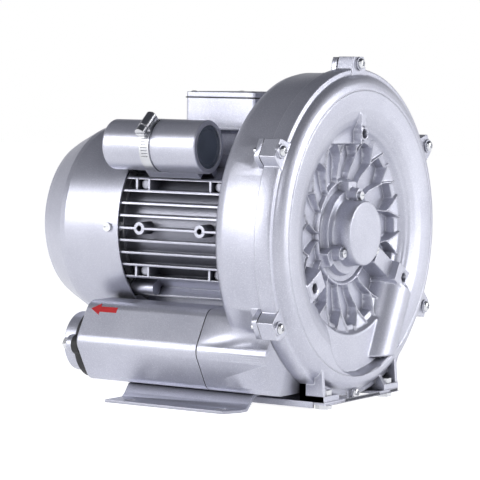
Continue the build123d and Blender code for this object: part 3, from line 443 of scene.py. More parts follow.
class Wardrobe:
    """Keeps one material for each finish and hands it out."""

    def __init__(self) -> None:
        """Build the shared groups and every finish."""
        self.effects = SurfaceEffects()
        self.materials = {slot: finish.make(self.effects) for slot, finish in FINISHES.items()}

    def dress_solids(self) -> int:
        """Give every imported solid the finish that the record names.

        Returns:
            How many solids were dressed.
        """
        named = {part["node"]: Slot(part["material_slot"]) for part in frame["record"]["subparts"]}
        for node, solid in frame["nodes"].items():
            solid.data.materials.clear()
            solid.data.materials.append(self.materials[named[node]])
        return len(named)


# ------------------------------------------------------------------ shared mesh tools

def mesh_piece(name: str, build: bmesh.types.BMesh, material: bpy.types.Material,
               smooth: bool = False) -> bpy.types.Object:
    """Turn a bmesh into a scene piece at the origin.

    Args:
        name: Name of the piece.
        build: The mesh, which is freed.
        material: Its finish.
        smooth: Whether its faces are shaded smooth.

    Returns:
        The new object.
    """
    mesh = bpy.data.meshes.new(name)
    bmesh.ops.remove_doubles(build, verts=build.verts, dist=1e-7)
    bmesh.ops.recalc_face_normals(build, faces=build.faces)
    build.to_mesh(mesh)
    build.free()
    for polygon in mesh.polygons:
        polygon.use_smooth = smooth
    mesh.materials.append(material)
    piece = bpy.data.objects.new(name, mesh)
    bpy.context.scene.collection.objects.link(piece)
    return piece


def finish_piece(piece: bpy.types.Object) -> None:
    """Attach a piece to the standing machine.

    Args:
        piece: The finished piece.
    """
    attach(piece, "machine")
    LOG.info("%s: %d faces", piece.name, len(piece.data.polygons))


def keep_result(source: bpy.types.Object, name: str) -> bpy.types.Object:
    """Keep what an object's modifiers make, as a plain piece.

    Args:
        source: Object with live modifiers.
        name: Name of the piece.

    Returns:
        The new object, without modifiers.
    """
    graph = bpy.context.evaluated_depsgraph_get()
    mesh = bpy.data.meshes.new_from_object(source.evaluated_get(graph), depsgraph=graph)
    bpy.data.objects.remove(source)
    mesh.name = name
    piece = bpy.data.objects.new(name, mesh)
    bpy.context.scene.collection.objects.link(piece)
    return piece


def circle(centre: Point, radius: float, steps: int) -> list[Point]:
    """Points evenly round a circle.

    Args:
        centre: Its middle.
        radius: Its radius.
        steps: How many points.

    Returns:
        The points, in turning order.
    """
    turns = [2 * math.pi * k / steps for k in range(steps)]
    return [(centre[0] + radius * math.cos(t), centre[1] + radius * math.sin(t)) for t in turns]


def polar(radius: float, degrees: float) -> Point:
    """Point at a distance and an angle."""
    return radius * math.cos(math.radians(degrees)), radius * math.sin(math.radians(degrees))


def skin(build: bmesh.types.BMesh, rings: Rings) -> None:
    """Join each ring of corners to the next with a band of faces.

    Args:
        build: Mesh that holds the corners.
        rings: Rings of equal length.
    """
    for first, second in zip(rings, rings[1:]):
        for k in range(len(first)):
            nxt = (k + 1) % len(first)
            build.faces.new((first[k], first[nxt], second[nxt], second[k]))


def close_prism(build: bmesh.types.BMesh, rings: Rings) -> None:
    """Close rings of corners with sides and ends.

    Args:
        build: Mesh that holds the corners.
        rings: Rings of equal length.
    """
    build.faces.new(rings[0])
    build.faces.new(list(reversed(rings[-1])))
    skin(build, rings)


def prism(build: bmesh.types.BMesh, outline: list[Point], depths: Point, degrees: float) -> None:
    """Add a prism seen from the front, turned about the shaft.

    Args:
        build: Mesh to add to.
        outline: Corners as distance along the spoke and across it.
        depths: Front and rear y.
        degrees: Angle of the spoke.
    """
    turn = math.radians(degrees)
    close_prism(build, [[build.verts.new(drawing(u * math.cos(turn) - v * math.sin(turn), y,
                                                 u * math.sin(turn) + v * math.cos(turn)))
                         for u, v in outline] for y in depths])


def slab_x(build: bmesh.types.BMesh, outline: list[Point], low: float, high: float) -> None:
    """Add a plate across x.

    Args:
        build: Mesh to add to.
        outline: Corners as y and z.
        low: One x.
        high: The other x.
    """
    close_prism(build, [[build.verts.new(drawing(x, y, z)) for y, z in outline]
                        for x in (low, high)])


class RepeatTree:
    """Geometry node tree that the repeating pieces are made with."""

    def __init__(self, name: str, sizes: dict[str, float], counts: dict[str, int]) -> None:
        """Make the tree with its named inputs.

        Args:
            name: Name of the tree.
            sizes: Length inputs with their defaults.
            counts: Whole-number inputs with their defaults.
        """
        self.group = bpy.data.node_groups.new(name, "GeometryNodeTree")
        face = self.group.interface
        for values, kind in ((sizes, "NodeSocketFloat"), (counts, "NodeSocketInt")):
            for label, value in values.items():
                socket = face.new_socket(label, in_out="INPUT", socket_type=kind)
                socket.default_value = value
        face.new_socket("Finish", in_out="INPUT", socket_type="NodeSocketMaterial")
        face.new_socket("Geometry", in_out="OUTPUT", socket_type="NodeSocketGeometry")
        self.inside = self.group.nodes.new("NodeGroupInput")
        self.outside = self.group.nodes.new("NodeGroupOutput")
        self.tree = Tree(self.group)

    def close(self, geometry: bpy.types.NodeSocket) -> None:
        """End the tree in Realize Instances and Set Material.

        Args:
            geometry: What the tree has made.
        """
        real = self.tree.add("GeometryNodeRealizeInstances")
        paint = self.tree.add("GeometryNodeSetMaterial")
        self.tree.link(geometry, real.inputs[0])
        self.tree.link(real.outputs[0], paint.inputs["Geometry"])
        self.tree.link(self.inside.outputs["Finish"], paint.inputs["Material"])
        self.tree.link(paint.outputs[0], self.outside.inputs["Geometry"])

    def bake(self, name: str, values: dict[str, object], place: Matrix) -> bpy.types.Object:
        """Run the tree and keep the result as a plain mesh.

        Args:
            name: Name of the piece.
            values: Inputs by their names.
            place: Where the finished mesh goes.

        Returns:
            A piece at the origin with its place in its mesh.
        """
        carrier = bpy.data.objects.new(name + "_maker", bpy.data.meshes.new(name + "_maker"))
        bpy.context.scene.collection.objects.link(carrier)
        modifier = carrier.modifiers.new("repeat", "NODES")
        modifier.node_group = self.group
        for item in self.group.interface.items_tree:
            if item.in_out == "INPUT" and item.name in values:
                modifier[item.identifier] = values[item.name]
        piece = keep_result(carrier, name)
        piece.data.transform(place)
        return piece


# ------------------------------------------------------------------ sub-assemblies

@dataclass
class PortThreads:
    """Pipe thread turns inside the two port flanges."""

    radius: float = 20.95
    depth: float = 0.9
    pitch: float = 2.3
    first_y: float = 222.5
    turns: int = 6
    centre_x: float = 82.0
    centre_z: float = -104.5
    ring_steps: int = 64
    ridge_steps: int = 4

    def sizes(self) -> dict[str, float]:
        """Named lengths of the tree, in metres."""
        return {"Radius": self.radius * MM, "Depth": self.depth * MM, "Pitch": self.pitch * MM}

    def tree(self) -> RepeatTree:
        """Build the tree: one ridge ring, repeated along the bore.

        Returns:
            The node tree with named sizes.
        """
        made = RepeatTree("thread turns", self.sizes(), {"Turns": self.turns})
        tree, inside = made.tree, made.inside
        line = tree.add("GeometryNodeMeshLine", mode="OFFSET")
        step = tree.add("ShaderNodeCombineXYZ")
        tree.link(inside.outputs["Pitch"], step.inputs["Z"])
        tree.link(inside.outputs["Turns"], line.inputs["Count"])
        tree.link(step.outputs[0], line.inputs["Offset"])
        ring = tree.add("GeometryNodeCurvePrimitiveCircle", mode="RADIUS")
        ring.inputs["Resolution"].default_value = self.ring_steps
        tree.link(inside.outputs["Radius"], ring.inputs["Radius"])
        ridge = tree.add("GeometryNodeCurvePrimitiveCircle", mode="RADIUS")
        ridge.inputs["Resolution"].default_value = self.ridge_steps
        tree.link(inside.outputs["Depth"], ridge.inputs["Radius"])
        sweep = tree.add("GeometryNodeCurveToMesh")
        tree.link(ring.outputs["Curve"], sweep.inputs["Curve"])
        tree.link(ridge.outputs["Curve"], sweep.inputs["Profile Curve"])
        copies = tree.add("GeometryNodeInstanceOnPoints")
        tree.link(line.outputs["Mesh"], copies.inputs["Points"])
        tree.link(sweep.outputs["Mesh"], copies.inputs["Instance"])
        made.close(copies.outputs[0])
        return made

    def build(self, wardrobe: Wardrobe) -> None:
        """Make the threads of both ports.

        Args:
            wardrobe: Finishes to take the silver paint from.
        """
        made = self.tree()
        for side in Side:
            spot = drawing(side.value * self.centre_x, self.first_y, self.centre_z)
            place = Matrix.Translation(spot) @ Matrix.Rotation(-math.pi / 2, 4, "X")
            name = "port_threads_" + side.name.lower()
            values = {**self.sizes(), "Turns": self.turns,
                      "Finish": wardrobe.materials[Slot.CASTING]}
            finish_piece(made.bake(name, values, place))


@dataclass
class FlowArrow:
    """Red arrow on the upper left facet of the left silencer."""

    centre_x: float = -82.0
    centre_z: float = -100.5
    facet_radius: float = 35.5
    facet_angle: float = 150.0
    tail_y: float = 179.0
    tip_y: float = 207.0
    rise_up_facet: float = 12.5
    half_width: float = 5.6
    shaft_half: float = 2.6
    head_length: float = 10.0
    lift: float = 0.12
    ink: Finish = Finish("red arrow ink", (0.62, 0.015, 0.02), (0.50, 0.012, 0.016),
                         metallic=0.0, roughness=0.38, roughness_spread=0.12,
                         edge_radius=0.0002, grains=900.0, grain_depth=0.00005, patches=60.0)

    def build(self, wardrobe: Wardrobe) -> None:
        """Lay the arrow on the facet.

        Args:
            wardrobe: Shared groups for the ink.
        """
        angle = math.radians(self.facet_angle)
        out = Vector((math.cos(angle), 0, math.sin(angle)))
        across = Vector((-math.sin(angle), 0, math.cos(angle)))
        base = Vector((self.centre_x, 0, self.centre_z)) + out * self.facet_radius
        base -= across * self.rise_up_facet
        neck_y = self.tip_y - self.head_length
        outline = [(self.tail_y, -self.shaft_half), (neck_y, -self.shaft_half),
                   (neck_y, -self.half_width), (self.tip_y, 0.0), (neck_y, self.half_width),
                   (neck_y, self.shaft_half), (self.tail_y, self.shaft_half)]
        build = bmesh.new()
        rings = []
        for rise in (0.0, self.lift):
            spots = [(y, base + out * rise + across * side) for y, side in outline]
            rings.append([build.verts.new(drawing(spot.x, y, spot.z)) for y, spot in spots])
        close_prism(build, rings)
        finish_piece(mesh_piece("flow_arrow", build, self.ink.make(wardrobe.effects)))


@dataclass
class CoverFace:
    """Front cover as a cast skin: bulge, forked ribs, hub, pads, channel end and legs.

    The front is a height over the plane of the rim, worked out on rings of points.  Each
    form is a height too, far below the casting outside its outline, and the higher one
    shows.  Forms meet in small fillets, as they do on a pressure casting.
    """

    rim_radius: float = 143.5
    rim_depth: float = 14.0
    spokes: int = 600
    fillet: float = 0.7
    draft: float = 9.0
    profile: tuple[Point, ...] = (
        (0, 11), (27.4, 11), (28.5, 9.8), (29.3, -3.6), (30.5, -5.2), (36.8, -6), (38.2, -12.6),
        (43.6, -12.6), (44.6, -10.3), (46, -9.6), (47, -10.4), (47.8, -14), (80.8, -14),
        (82.2, -6.2), (84, -5.4), (86.4, -4.9), (87.4, -3.5), (88.2, -3), (89, -0.7),
        (90.4, 0.9), (92.6, 1.8), (95, 3.4),
        (101, 5.8), (108, 7.6), (117, 8.4), (124.4, 8.7), (125, 7.9), (125.6, 8.9),
        (131.5, 7.4), (135.2, 5.2), (137.4, 2.8), (138.3, 1.1), (139, 0.7), (142.4, 0.5),
        (143.2, 0), (143.5, -1.2))
    back: tuple[Point, ...] = (
        (143.5, -14), (134, -14), (130, -6), (122, -2.5), (98, -2.5), (90, -6), (85.5, -17.5),
        (26, -18.6), (24, -18), (24, 6.3), (0.001, 6.3))
    petals: int = 16
    first_petal: float = 13.5
    petal_lean: float = 7.0
    rib_half: float = 0.54
    rib_draft: float = 7.0
    rib_crest: tuple[Point, ...] = ((44, -9.4), (58, -7.6), (72, -5.4), (86, -2.4), (95, -1.6))
    stem: tuple[Point, ...] = ((46, 1.0), (52, 0.9), (58, 0.55), (64, 0.18), (69, 0.0))
    arm: tuple[Point, ...] = ((69, 0.0), (73, 1.2), (78, 3.4), (83, 5.6), (86.5, 6.6))
    fork_reach: float = 88.0
    fork_drop: float = 2.0
    far_below: float = -30.0
    flat_outline: tuple[Point, ...] = (
        (-50, -66), (-47, -98), (-40, -108), (-28, -116.5), (-12, -121.8), (4, -122.3),
        (17, -120.5), (34, -117), (66, -103), (66, -50), (40, -40))
    flat_slope: float = 2.6
    channel_line: tuple[Point, Point] = ((90.0, -30.0), (47.0, -118.0))
    channel_radius: float = 24.0
    channel_axis: float = -13.0
    channel_cut: float = -112.0
    channel_slope: float = 6.0
    web: tuple[float, ...] = (22, 45, -6.5, 6.5)
    web_top: float = -3.0
    seat: tuple[float, ...] = (33, 6.0, 4.5)
    shelf: tuple[Point, ...] = ((-42, 78.5), (-33, 87), (-20, 94), (-5, 101), (-5, 78.5))
    shelf_top: float = 1.0
    pad_circle: float = 87.0
    pad_angles: tuple[int, ...] = (90, 210, 330)
    pad_top: float = 9.0
    low_pad_top: float = 5.5
    pad_boss: float = 6.2
    chamfer: tuple[float, ...] = (5.6, 4.0, 0.5)
    hole: tuple[float, ...] = (3.9, 14.0, 11.0)
    foot: float = -142.5
    leg_x: Point = (40.0, 66.0)
    leg_wall: float = 4.0
    leg_back: float = 13.9

    def rings(self) -> list[float]:
        """Radii of the rings of points, closest together in the recess.

        Returns:
            Radii from the hub to the rim.
        """
        radii = [0.001, 9.0, 18.0, 23.0]
        for start, gap, count in ((26.0, 0.75, 84), (89.3, 1.0, 35)):
            radii += [start + gap * k for k in range(count)]
        radii += [124.0, 124.6, 125.0, 125.4, 126.0]
        for start, gap, count in ((127.5, 1.6, 5), (135.2, 0.8, 10)):
            radii += [start + gap * k for k in range(count)]
        return radii + [143.0, self.rim_radius]

    def build(self, wardrobe: Wardrobe) -> None:
        """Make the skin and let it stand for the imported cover.

        Args:
            wardrobe: Finishes to take the cast paint from.
        """
        radii = np.array(self.rings())
        angles = np.radians(np.arange(self.spokes) * 360.0 / self.spokes)
        x = radii[:, None] * np.cos(angles)[None, :]
        z = radii[:, None] * np.sin(angles)[None, :]
        rows = [np.stack((x, -self.height(x, z), z), axis=2)]
        for radius, level in self.back:
            ring = np.stack((radius * np.cos(angles), np.full_like(angles, -level),
                             radius * np.sin(angles)), axis=1)
            rows.append(ring[None])
        build = bmesh.new()
        skin(build, [[build.verts.new(drawing(*spot)) for spot in row]
                     for row in np.concatenate(rows)])
        self.add_bosses(build)
        self.add_legs(build)
        piece = mesh_piece("cover_skin", build, wardrobe.materials[Slot.CASTING], True)
        piece.data.set_sharp_from_angle(angle=math.radians(50))
        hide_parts("front_cover")
        finish_piece(piece)

    def height(self, x: np.ndarray, z: np.ndarray) -> np.ndarray:
        """Height of the casting in front of the rim plane.

        Args:
            x: Distances to the right of the shaft.
            z: Distances above the shaft.

        Returns:
            Distances towards the front.
        """
        known = np.array(self.profile)
        level = np.interp(np.hypot(x, z), known[:, 0], known[:, 1])
        level = self.lower(level, self.flat_bottom(x, z))
        for rib in self.ribs(x, z):
            level = self.raise_to(level, rib)
        level = self.raise_to(level, self.channel_end(x, z))
        for angle in self.pad_angles:
            level = self.add_web(level, *self.turned_by(x, z, angle))
        level = self.add_pads(self.add_top_pad(level, x, z), x, z)
        for angle in self.pad_angles:
            hole_x, hole_z = polar(self.pad_circle, angle)
            away = np.hypot(x - hole_x, z - hole_z)
            for size, slope, depth in (self.chamfer, self.hole):
                level = level - np.clip((size - away) * slope, 0, depth)
        return level

    def raise_to(self, first: np.ndarray, second: np.ndarray) -> np.ndarray:
        """Higher of two surfaces, with a small fillet where they meet."""
        mix = np.clip(0.5 + 0.5 * (second - first) / (self.fillet * 2), 0, 1)
        return first + (second - first) * mix + self.fillet * 2 * mix * (1 - mix)

    def lower(self, first: np.ndarray, second: np.ndarray) -> np.ndarray:
        """Lower of two surfaces, with a small round where they meet."""
        return -self.raise_to(-first, -second)

    def turned_by(self, x: np.ndarray, z: np.ndarray,
                  degrees: float) -> tuple[np.ndarray, np.ndarray]:
        """Coordinates along and across a spoke.

        Args:
            x: Distances to the right of the shaft.
            z: Distances above the shaft.
            degrees: Angle of the spoke.

        Returns:
            Distances along it and across it.
        """
        turn = math.radians(degrees)
        along = x * math.cos(turn) + z * math.sin(turn)
        return along, z * math.cos(turn) - x * math.sin(turn)

    def block(self, u: np.ndarray, v: np.ndarray, box: tuple[float, ...],
              top: float) -> np.ndarray:
        """Flat-topped block with steep drafted sides.

        Args:
            u: First coordinate.
            v: Second coordinate.
            box: Low u, high u, low v and high v.
            top: Height of its top.

        Returns:
            Its height.
        """
        outside = np.maximum(np.maximum(box[0] - u, u - box[1]),
                             np.maximum(box[2] - v, v - box[3]))
        return top - np.maximum(outside, 0) * self.draft

    def reach(self, x: np.ndarray, z: np.ndarray, spots: list[Point]) -> np.ndarray:
        """Distance to a path of straight runs.

        Args:
            x: Distances to the right of the shaft.
            z: Distances above the shaft.
            spots: The path's corners as x and z.

        Returns:
            Distance to its nearest point.
        """
        away = np.full_like(x, 1e9)
        for (ax, az), (bx, bz) in zip(spots, spots[1:]):
            run = np.clip(((x - ax) * (bx - ax) + (z - az) * (bz - az))
                          / ((bx - ax) ** 2 + (bz - az) ** 2), 0, 1)
            nearest = np.hypot(x - ax - run * (bx - ax), z - az - run * (bz - az))
            away = np.minimum(away, nearest)
        return away

    def outside(self, x: np.ndarray, z: np.ndarray, corners: tuple[Point, ...]) -> np.ndarray:
        """Distance outside an outline.

        Args:
            x: Distances to the right of the shaft.
            z: Distances above the shaft.
            corners: The outline as x and z.

        Returns:
            The distance, and 0 inside it.
        """
        inside = np.zeros(x.shape, dtype=bool)
        for (ax, az), (bx, bz) in zip(corners, corners[1:] + corners[:1]):
            if az != bz:
                inside ^= ((z > az) != (z > bz)) & (x < (bx - ax) * (z - az) / (bz - az) + ax)
        return np.where(inside, 0.0, self.reach(x, z, list(corners + corners[:1])))

    def ribs(self, x: np.ndarray, z: np.ndarray) -> list[np.ndarray]:
        """Forked cooling ribs, each a stem from the ring and two arms to the wall.

        Args:
            x: Distances to the right of the shaft.
            z: Distances above the shaft.

        Returns:
            Each rib's height, and the height of the web in its fork.
        """
        radius = np.hypot(x, z)
        crest = np.interp(radius, *zip(*self.rib_crest))
        spread = np.interp(radius, *zip(*self.arm))
        heights = []
        for index in range(self.petals):
            middle = self.first_petal + index * 360.0 / self.petals
            lean = math.copysign(self.petal_lean, math.sin(math.radians(middle)))
            away = self.reach(x, z, [polar(r, middle + lean * share) for r, share in self.stem])
            for side in (-1, 1):
                arm = [polar(r, middle + swing * side) for r, swing in self.arm]
                away = np.minimum(away, self.reach(x, z, arm))
            heights.append(crest - np.maximum(away - self.rib_half, 0) * self.rib_draft)
            swing = np.abs((np.degrees(np.arctan2(z, x)) - middle + 180) % 360 - 180)
            fork = (swing < spread) & (radius > self.arm[0][0]) & (radius < self.fork_reach)
            heights.append(np.where(fork, crest - self.fork_drop, self.far_below))
        return heights

    def flat_bottom(self, x: np.ndarray, z: np.ndarray) -> np.ndarray:
        """Ceiling over the flat between the two ends of the channel."""
        return self.outside(x, z, self.flat_outline) * self.flat_slope

    def channel_end(self, x: np.ndarray, z: np.ndarray) -> np.ndarray:
        """Half-round end of the channel, from the lower right bar to a level cut.

        Args:
            x: Distances to the right of the shaft.
            z: Distances above the shaft.

        Returns:
            Its height.
        """
        (ax, az), (bx, bz) = self.channel_line
        long = math.hypot(bx - ax, bz - az)
        across = np.abs((x - ax) * (bz - az) / long - (z - az) * (bx - ax) / long)
        size = self.channel_radius
        crown = self.channel_axis + np.sqrt(np.maximum(size ** 2 - across ** 2, 0.01))
        crown = crown - np.maximum(across - size + 0.4, 0) * self.channel_slope
        u, v = self.turned_by(x, z, self.pad_angles[2])
        past_bar = np.maximum(v + 7.0, 0) * np.where(u > 93, 1.0, self.channel_slope)
        return crown - np.maximum(self.channel_cut - z, 0) * self.channel_slope - past_bar

    def add_web(self, level: np.ndarray, u: np.ndarray, v: np.ndarray) -> np.ndarray:
        """Block from the hub to the ring, with the round seat of its screw.

        Args:
            level: Height of the casting.
            u: Distances along the spoke.
            v: Distances across it.

        Returns:
            The height with the web.
        """
        level = self.raise_to(level, self.block(u, v, self.web, self.web_top))
        place, size, top = self.seat
        away = np.maximum(np.hypot(u - place, v) - size, 0)
        return np.maximum(level, top - away * self.draft)

    def add_top_pad(self, level: np.ndarray, x: np.ndarray, z: np.ndarray) -> np.ndarray:
        """Threaded pad at the top with its upright wall and its shelf.

        Args:
            level: Height of the casting.
            x: Distances to the right of the shaft.
            z: Distances above the shaft.

        Returns:
            The height with the pad.
        """
        shelf = self.shelf_top - self.outside(x, z, self.shelf) * self.draft
        level = self.raise_to(level, shelf)
        for box, top in (((-4, 6.6, 79, 103), 6.0), ((-6, -3.6, 78, 105), 8.2)):
            level = self.raise_to(level, self.block(x, z, box, top))
        away = np.maximum(np.hypot(x, z - self.pad_circle) - self.pad_boss, 0)
        return self.raise_to(level, self.pad_top - away * self.draft)

    def add_pads(self, level: np.ndarray, x: np.ndarray, z: np.ndarray) -> np.ndarray:
        """Threaded pad at the lower left, and the one at the lower right with its bar.

        Args:
            level: Height of the casting.
            x: Distances to the right of the shaft.
            z: Distances above the shaft.

        Returns:
            The height with both pads.
        """
        for angle, box, top in ((210, (72, 97, -9, 8.5), self.low_pad_top),
                                (330, (42, 73, -8, 8), 2.0),
                                (330, (72, 94, -10, 8), self.pad_top)):
            u, v = self.turned_by(x, z, angle)
            level = self.raise_to(level, self.block(u, v, box, top))
        return level

    def add_bosses(self, build: bmesh.types.BMesh) -> None:
        """Square bolt bosses standing out from the rim, each with a round seat.

        Args:
            build: Mesh of the cover.
        """
        for radius, angle in BOLT_SPOTS:
            outline = [(134, -14), (radius + 2, -10), (radius + 6, -8.4), (radius + 6, 8.4),
                       (radius + 2, 10), (134, 14)]
            prism(build, outline, (-1.2, self.rim_depth), angle)
            prism(build, circle((radius, 0), 6.0, 30), (-3.3, 1.0), angle)

    def add_legs(self, build: bmesh.types.BMesh) -> None:
        """Two legs: a foot, a back wall, a tall outer gusset and a right inner triangle.

        Args:
            build: Mesh of the cover.
        """
        foot, rear, wall = self.foot, self.leg_back, self.leg_wall
        inner, outer = self.leg_x
        tall = [(-10, foot), (rear, foot), (rear, -108), (-5.5, -108), (-7.5, -116),
                (-9, foot + 8)]
        sole = [(-10, foot), (rear, foot), (rear, foot + 5), (-10, foot + 5)]
        back = [(8, foot), (rear, foot), (rear, -112), (8, -112)]
        for side in (-1, 1):
            low, high = sorted((side * inner, side * outer))
            slab_x(build, sole, low, high)
            slab_x(build, back, low, high)
            slab_x(build, tall, *sorted((side * outer, side * (outer - wall))))
        triangle = [(-10, foot + 5), (rear, foot + 5), (rear, -118), (4, -118)]
        slab_x(build, triangle, inner, inner + wall)


@dataclass
class CoverScrews:
    """Six domed screws round the rim, in place of the plain bolt heads."""

    head_radius: float = 4.7
    head_height: float = 2.6
    seat_y: float = -3.4
    shank_radius: float = 2.4
    shank_end: float = 24.0
    segments: int = 32

    def build(self, wardrobe: Wardrobe) -> None:
        """Turn each head with its socket and let them stand for the bolts.

        Args:
            wardrobe: Finishes to take the plating from.
        """
        build = bmesh.new()
        top = self.seat_y - self.head_height
        outline = [(SMALLEST_RADIUS, top + 1.5), (1.9, top + 1.5), (2.1, top), (3.4, top + 0.35),
                   (4.3, top + 1.1), (self.head_radius, top + 1.9),
                   (self.head_radius, self.seat_y), (self.shank_radius, self.seat_y),
                   (self.shank_radius, self.shank_end), (SMALLEST_RADIUS, self.shank_end)]
        for radius, angle in BOLT_SPOTS:
            centre = polar(radius, angle)
            skin(build, [[build.verts.new(drawing(x, y, z))
                          for x, z in circle(centre, size, self.segments)]
                         for size, y in outline])
        piece = mesh_piece("rim_screws", build, wardrobe.materials[Slot.ZINC], True)
        piece.data.set_sharp_from_angle(angle=math.radians(40))
        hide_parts("cover_bolts")
        finish_piece(piece)


@dataclass(frozen=True)
class Cut:
    """A prism to cut away, along y on a spoke or upright where it has none."""

    outline: tuple[Point, ...]
    reach: Point
    spoke: float | None = None

    def add_to(self, build: bmesh.types.BMesh) -> None:
        """Add the prism to the cutter.

        Args:
            build: The cutter's mesh.
        """
        if self.spoke is not None:
            prism(build, list(self.outline), self.reach, self.spoke)
        else:
            close_prism(build, [[build.verts.new(drawing(x, y, z)) for x, y in self.outline]
                                for z in self.reach])


@dataclass
class CarvedSheet:
    """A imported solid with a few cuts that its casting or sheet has."""

    node: str
    name: str
    slot: Slot
    cuts: tuple[Cut, ...]
    sharp_from: float = 32.0

    def build(self, wardrobe: Wardrobe) -> None:
        """Cut a copy of the solid and let it stand for the solid.

        Args:
            wardrobe: Finishes to take the slot's from.
        """
        tool = bmesh.new()
        for cut in self.cuts:
            cut.add_to(tool)
        blank = bmesh.new()
        blank.from_mesh(frame["nodes"][self.node].data)
        material = wardrobe.materials[self.slot]
        body = mesh_piece(self.name + "_blank", blank, material, True)
        cutter = mesh_piece(self.name + "_tool", tool, material)
        modifier = body.modifiers.new("cut", "BOOLEAN")
        modifier.operation = "DIFFERENCE"
        modifier.solver = "EXACT"
        modifier.object = cutter
        piece = keep_result(body, self.name)
        bpy.data.objects.remove(cutter)
        piece.data.materials.clear()
        piece.data.materials.append(material)
        piece.data.set_sharp_from_angle(angle=math.radians(self.sharp_from))
        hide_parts(self.node)
        finish_piece(piece)


HOUSING = CarvedSheet(
    "blower_housing", "rear_casting", Slot.CASTING,
    tuple(Cut(((139.7, -13.0), (162, -11), (162, 11), (139.7, 13.0)), (19.8, 30.0), angle)
          for _, angle in BOLT_SPOTS))

BASE = CarvedSheet(
    "base_plate", "folded_base", Slot.SHEET,
    (Cut(((-66, -152), (66, -152), (66, -145.02), (-66, -145.02)), (-14, -10.3), 0.0),
     Cut(((-30, -10.2), (32, -10.2), (24, 26), (-24, 26)), (-148, -141)),
     Cut(((-66, -14), (66, -14), (66, -10.25), (-66, -10.25)), (-144.98, -141)),
     Cut(((49, -10.2), (66, -10.2), (66, 3), (61, -8)), (-148, -141))))


@dataclass
class FlangeSeals:
    """Black gaskets between the silencers and the port flanges."""

    radius: float = 30.5
    bore: float = 22.0
    centre_x: float = 82.0
    centre_z: float = -105.5
    depths: Point = (214.0, 221.0)
    ear_root: float = 27.0
    ear_reach: float = 36.0
    ear_half: float = 9.0
    ear_rise: float = 1.0
    ear_steps: int = 8
    ring_steps: int = 96

    def build(self, wardrobe: Wardrobe) -> None:
        """Make both gaskets.

        Args:
            wardrobe: Finishes to take the rubber from.
        """
        for side in Side:
            build = bmesh.new()
            x = side.value * self.centre_x
            self.add_ring(build, (x, self.centre_z))
            for way in (-1, 1):
                self.add_ear(build, (x, self.centre_z + self.ear_rise), way)
            name = side.name.lower()
            piece = mesh_piece("port_seal_" + name, build, wardrobe.materials[Slot.RUBBER])
            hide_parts("flange_gasket_" + name)
            finish_piece(piece)

    def add_ring(self, build: bmesh.types.BMesh, centre: Point) -> None:
        """Add the round part of one gasket.

        Args:
            build: Mesh of the gasket.
            centre: Its x and z.
        """
        front, rear = self.depths
        rings = [[build.verts.new(drawing(x, y, z))
                  for x, z in circle(centre, radius, self.ring_steps)]
                 for radius, y in ((self.bore, front), (self.radius, front),
                                   (self.radius, rear), (self.bore, rear))]
        skin(build, rings + rings[:1])

    def add_ear(self, build: bmesh.types.BMesh, centre: Point, way: int) -> None:
        """Add one rounded ear under a flange bolt.

        Args:
            build: Mesh of the gasket.
            centre: Where its middle line starts, as x and z.
            way: -1 for the ear on the left, 1 for the one on the right.
        """
        tip = [(self.ear_root, -self.ear_half)]
        for step in range(self.ear_steps + 1):
            u, v = polar(self.ear_half, -90 + 180 * step / self.ear_steps)
            tip.append((self.ear_reach - self.ear_half + u, v))
        tip.append((self.ear_root, self.ear_half))
        close_prism(build, [[build.verts.new(drawing(centre[0] + way * u, y, centre[1] + v))
                             for u, v in tip] for y in self.depths])


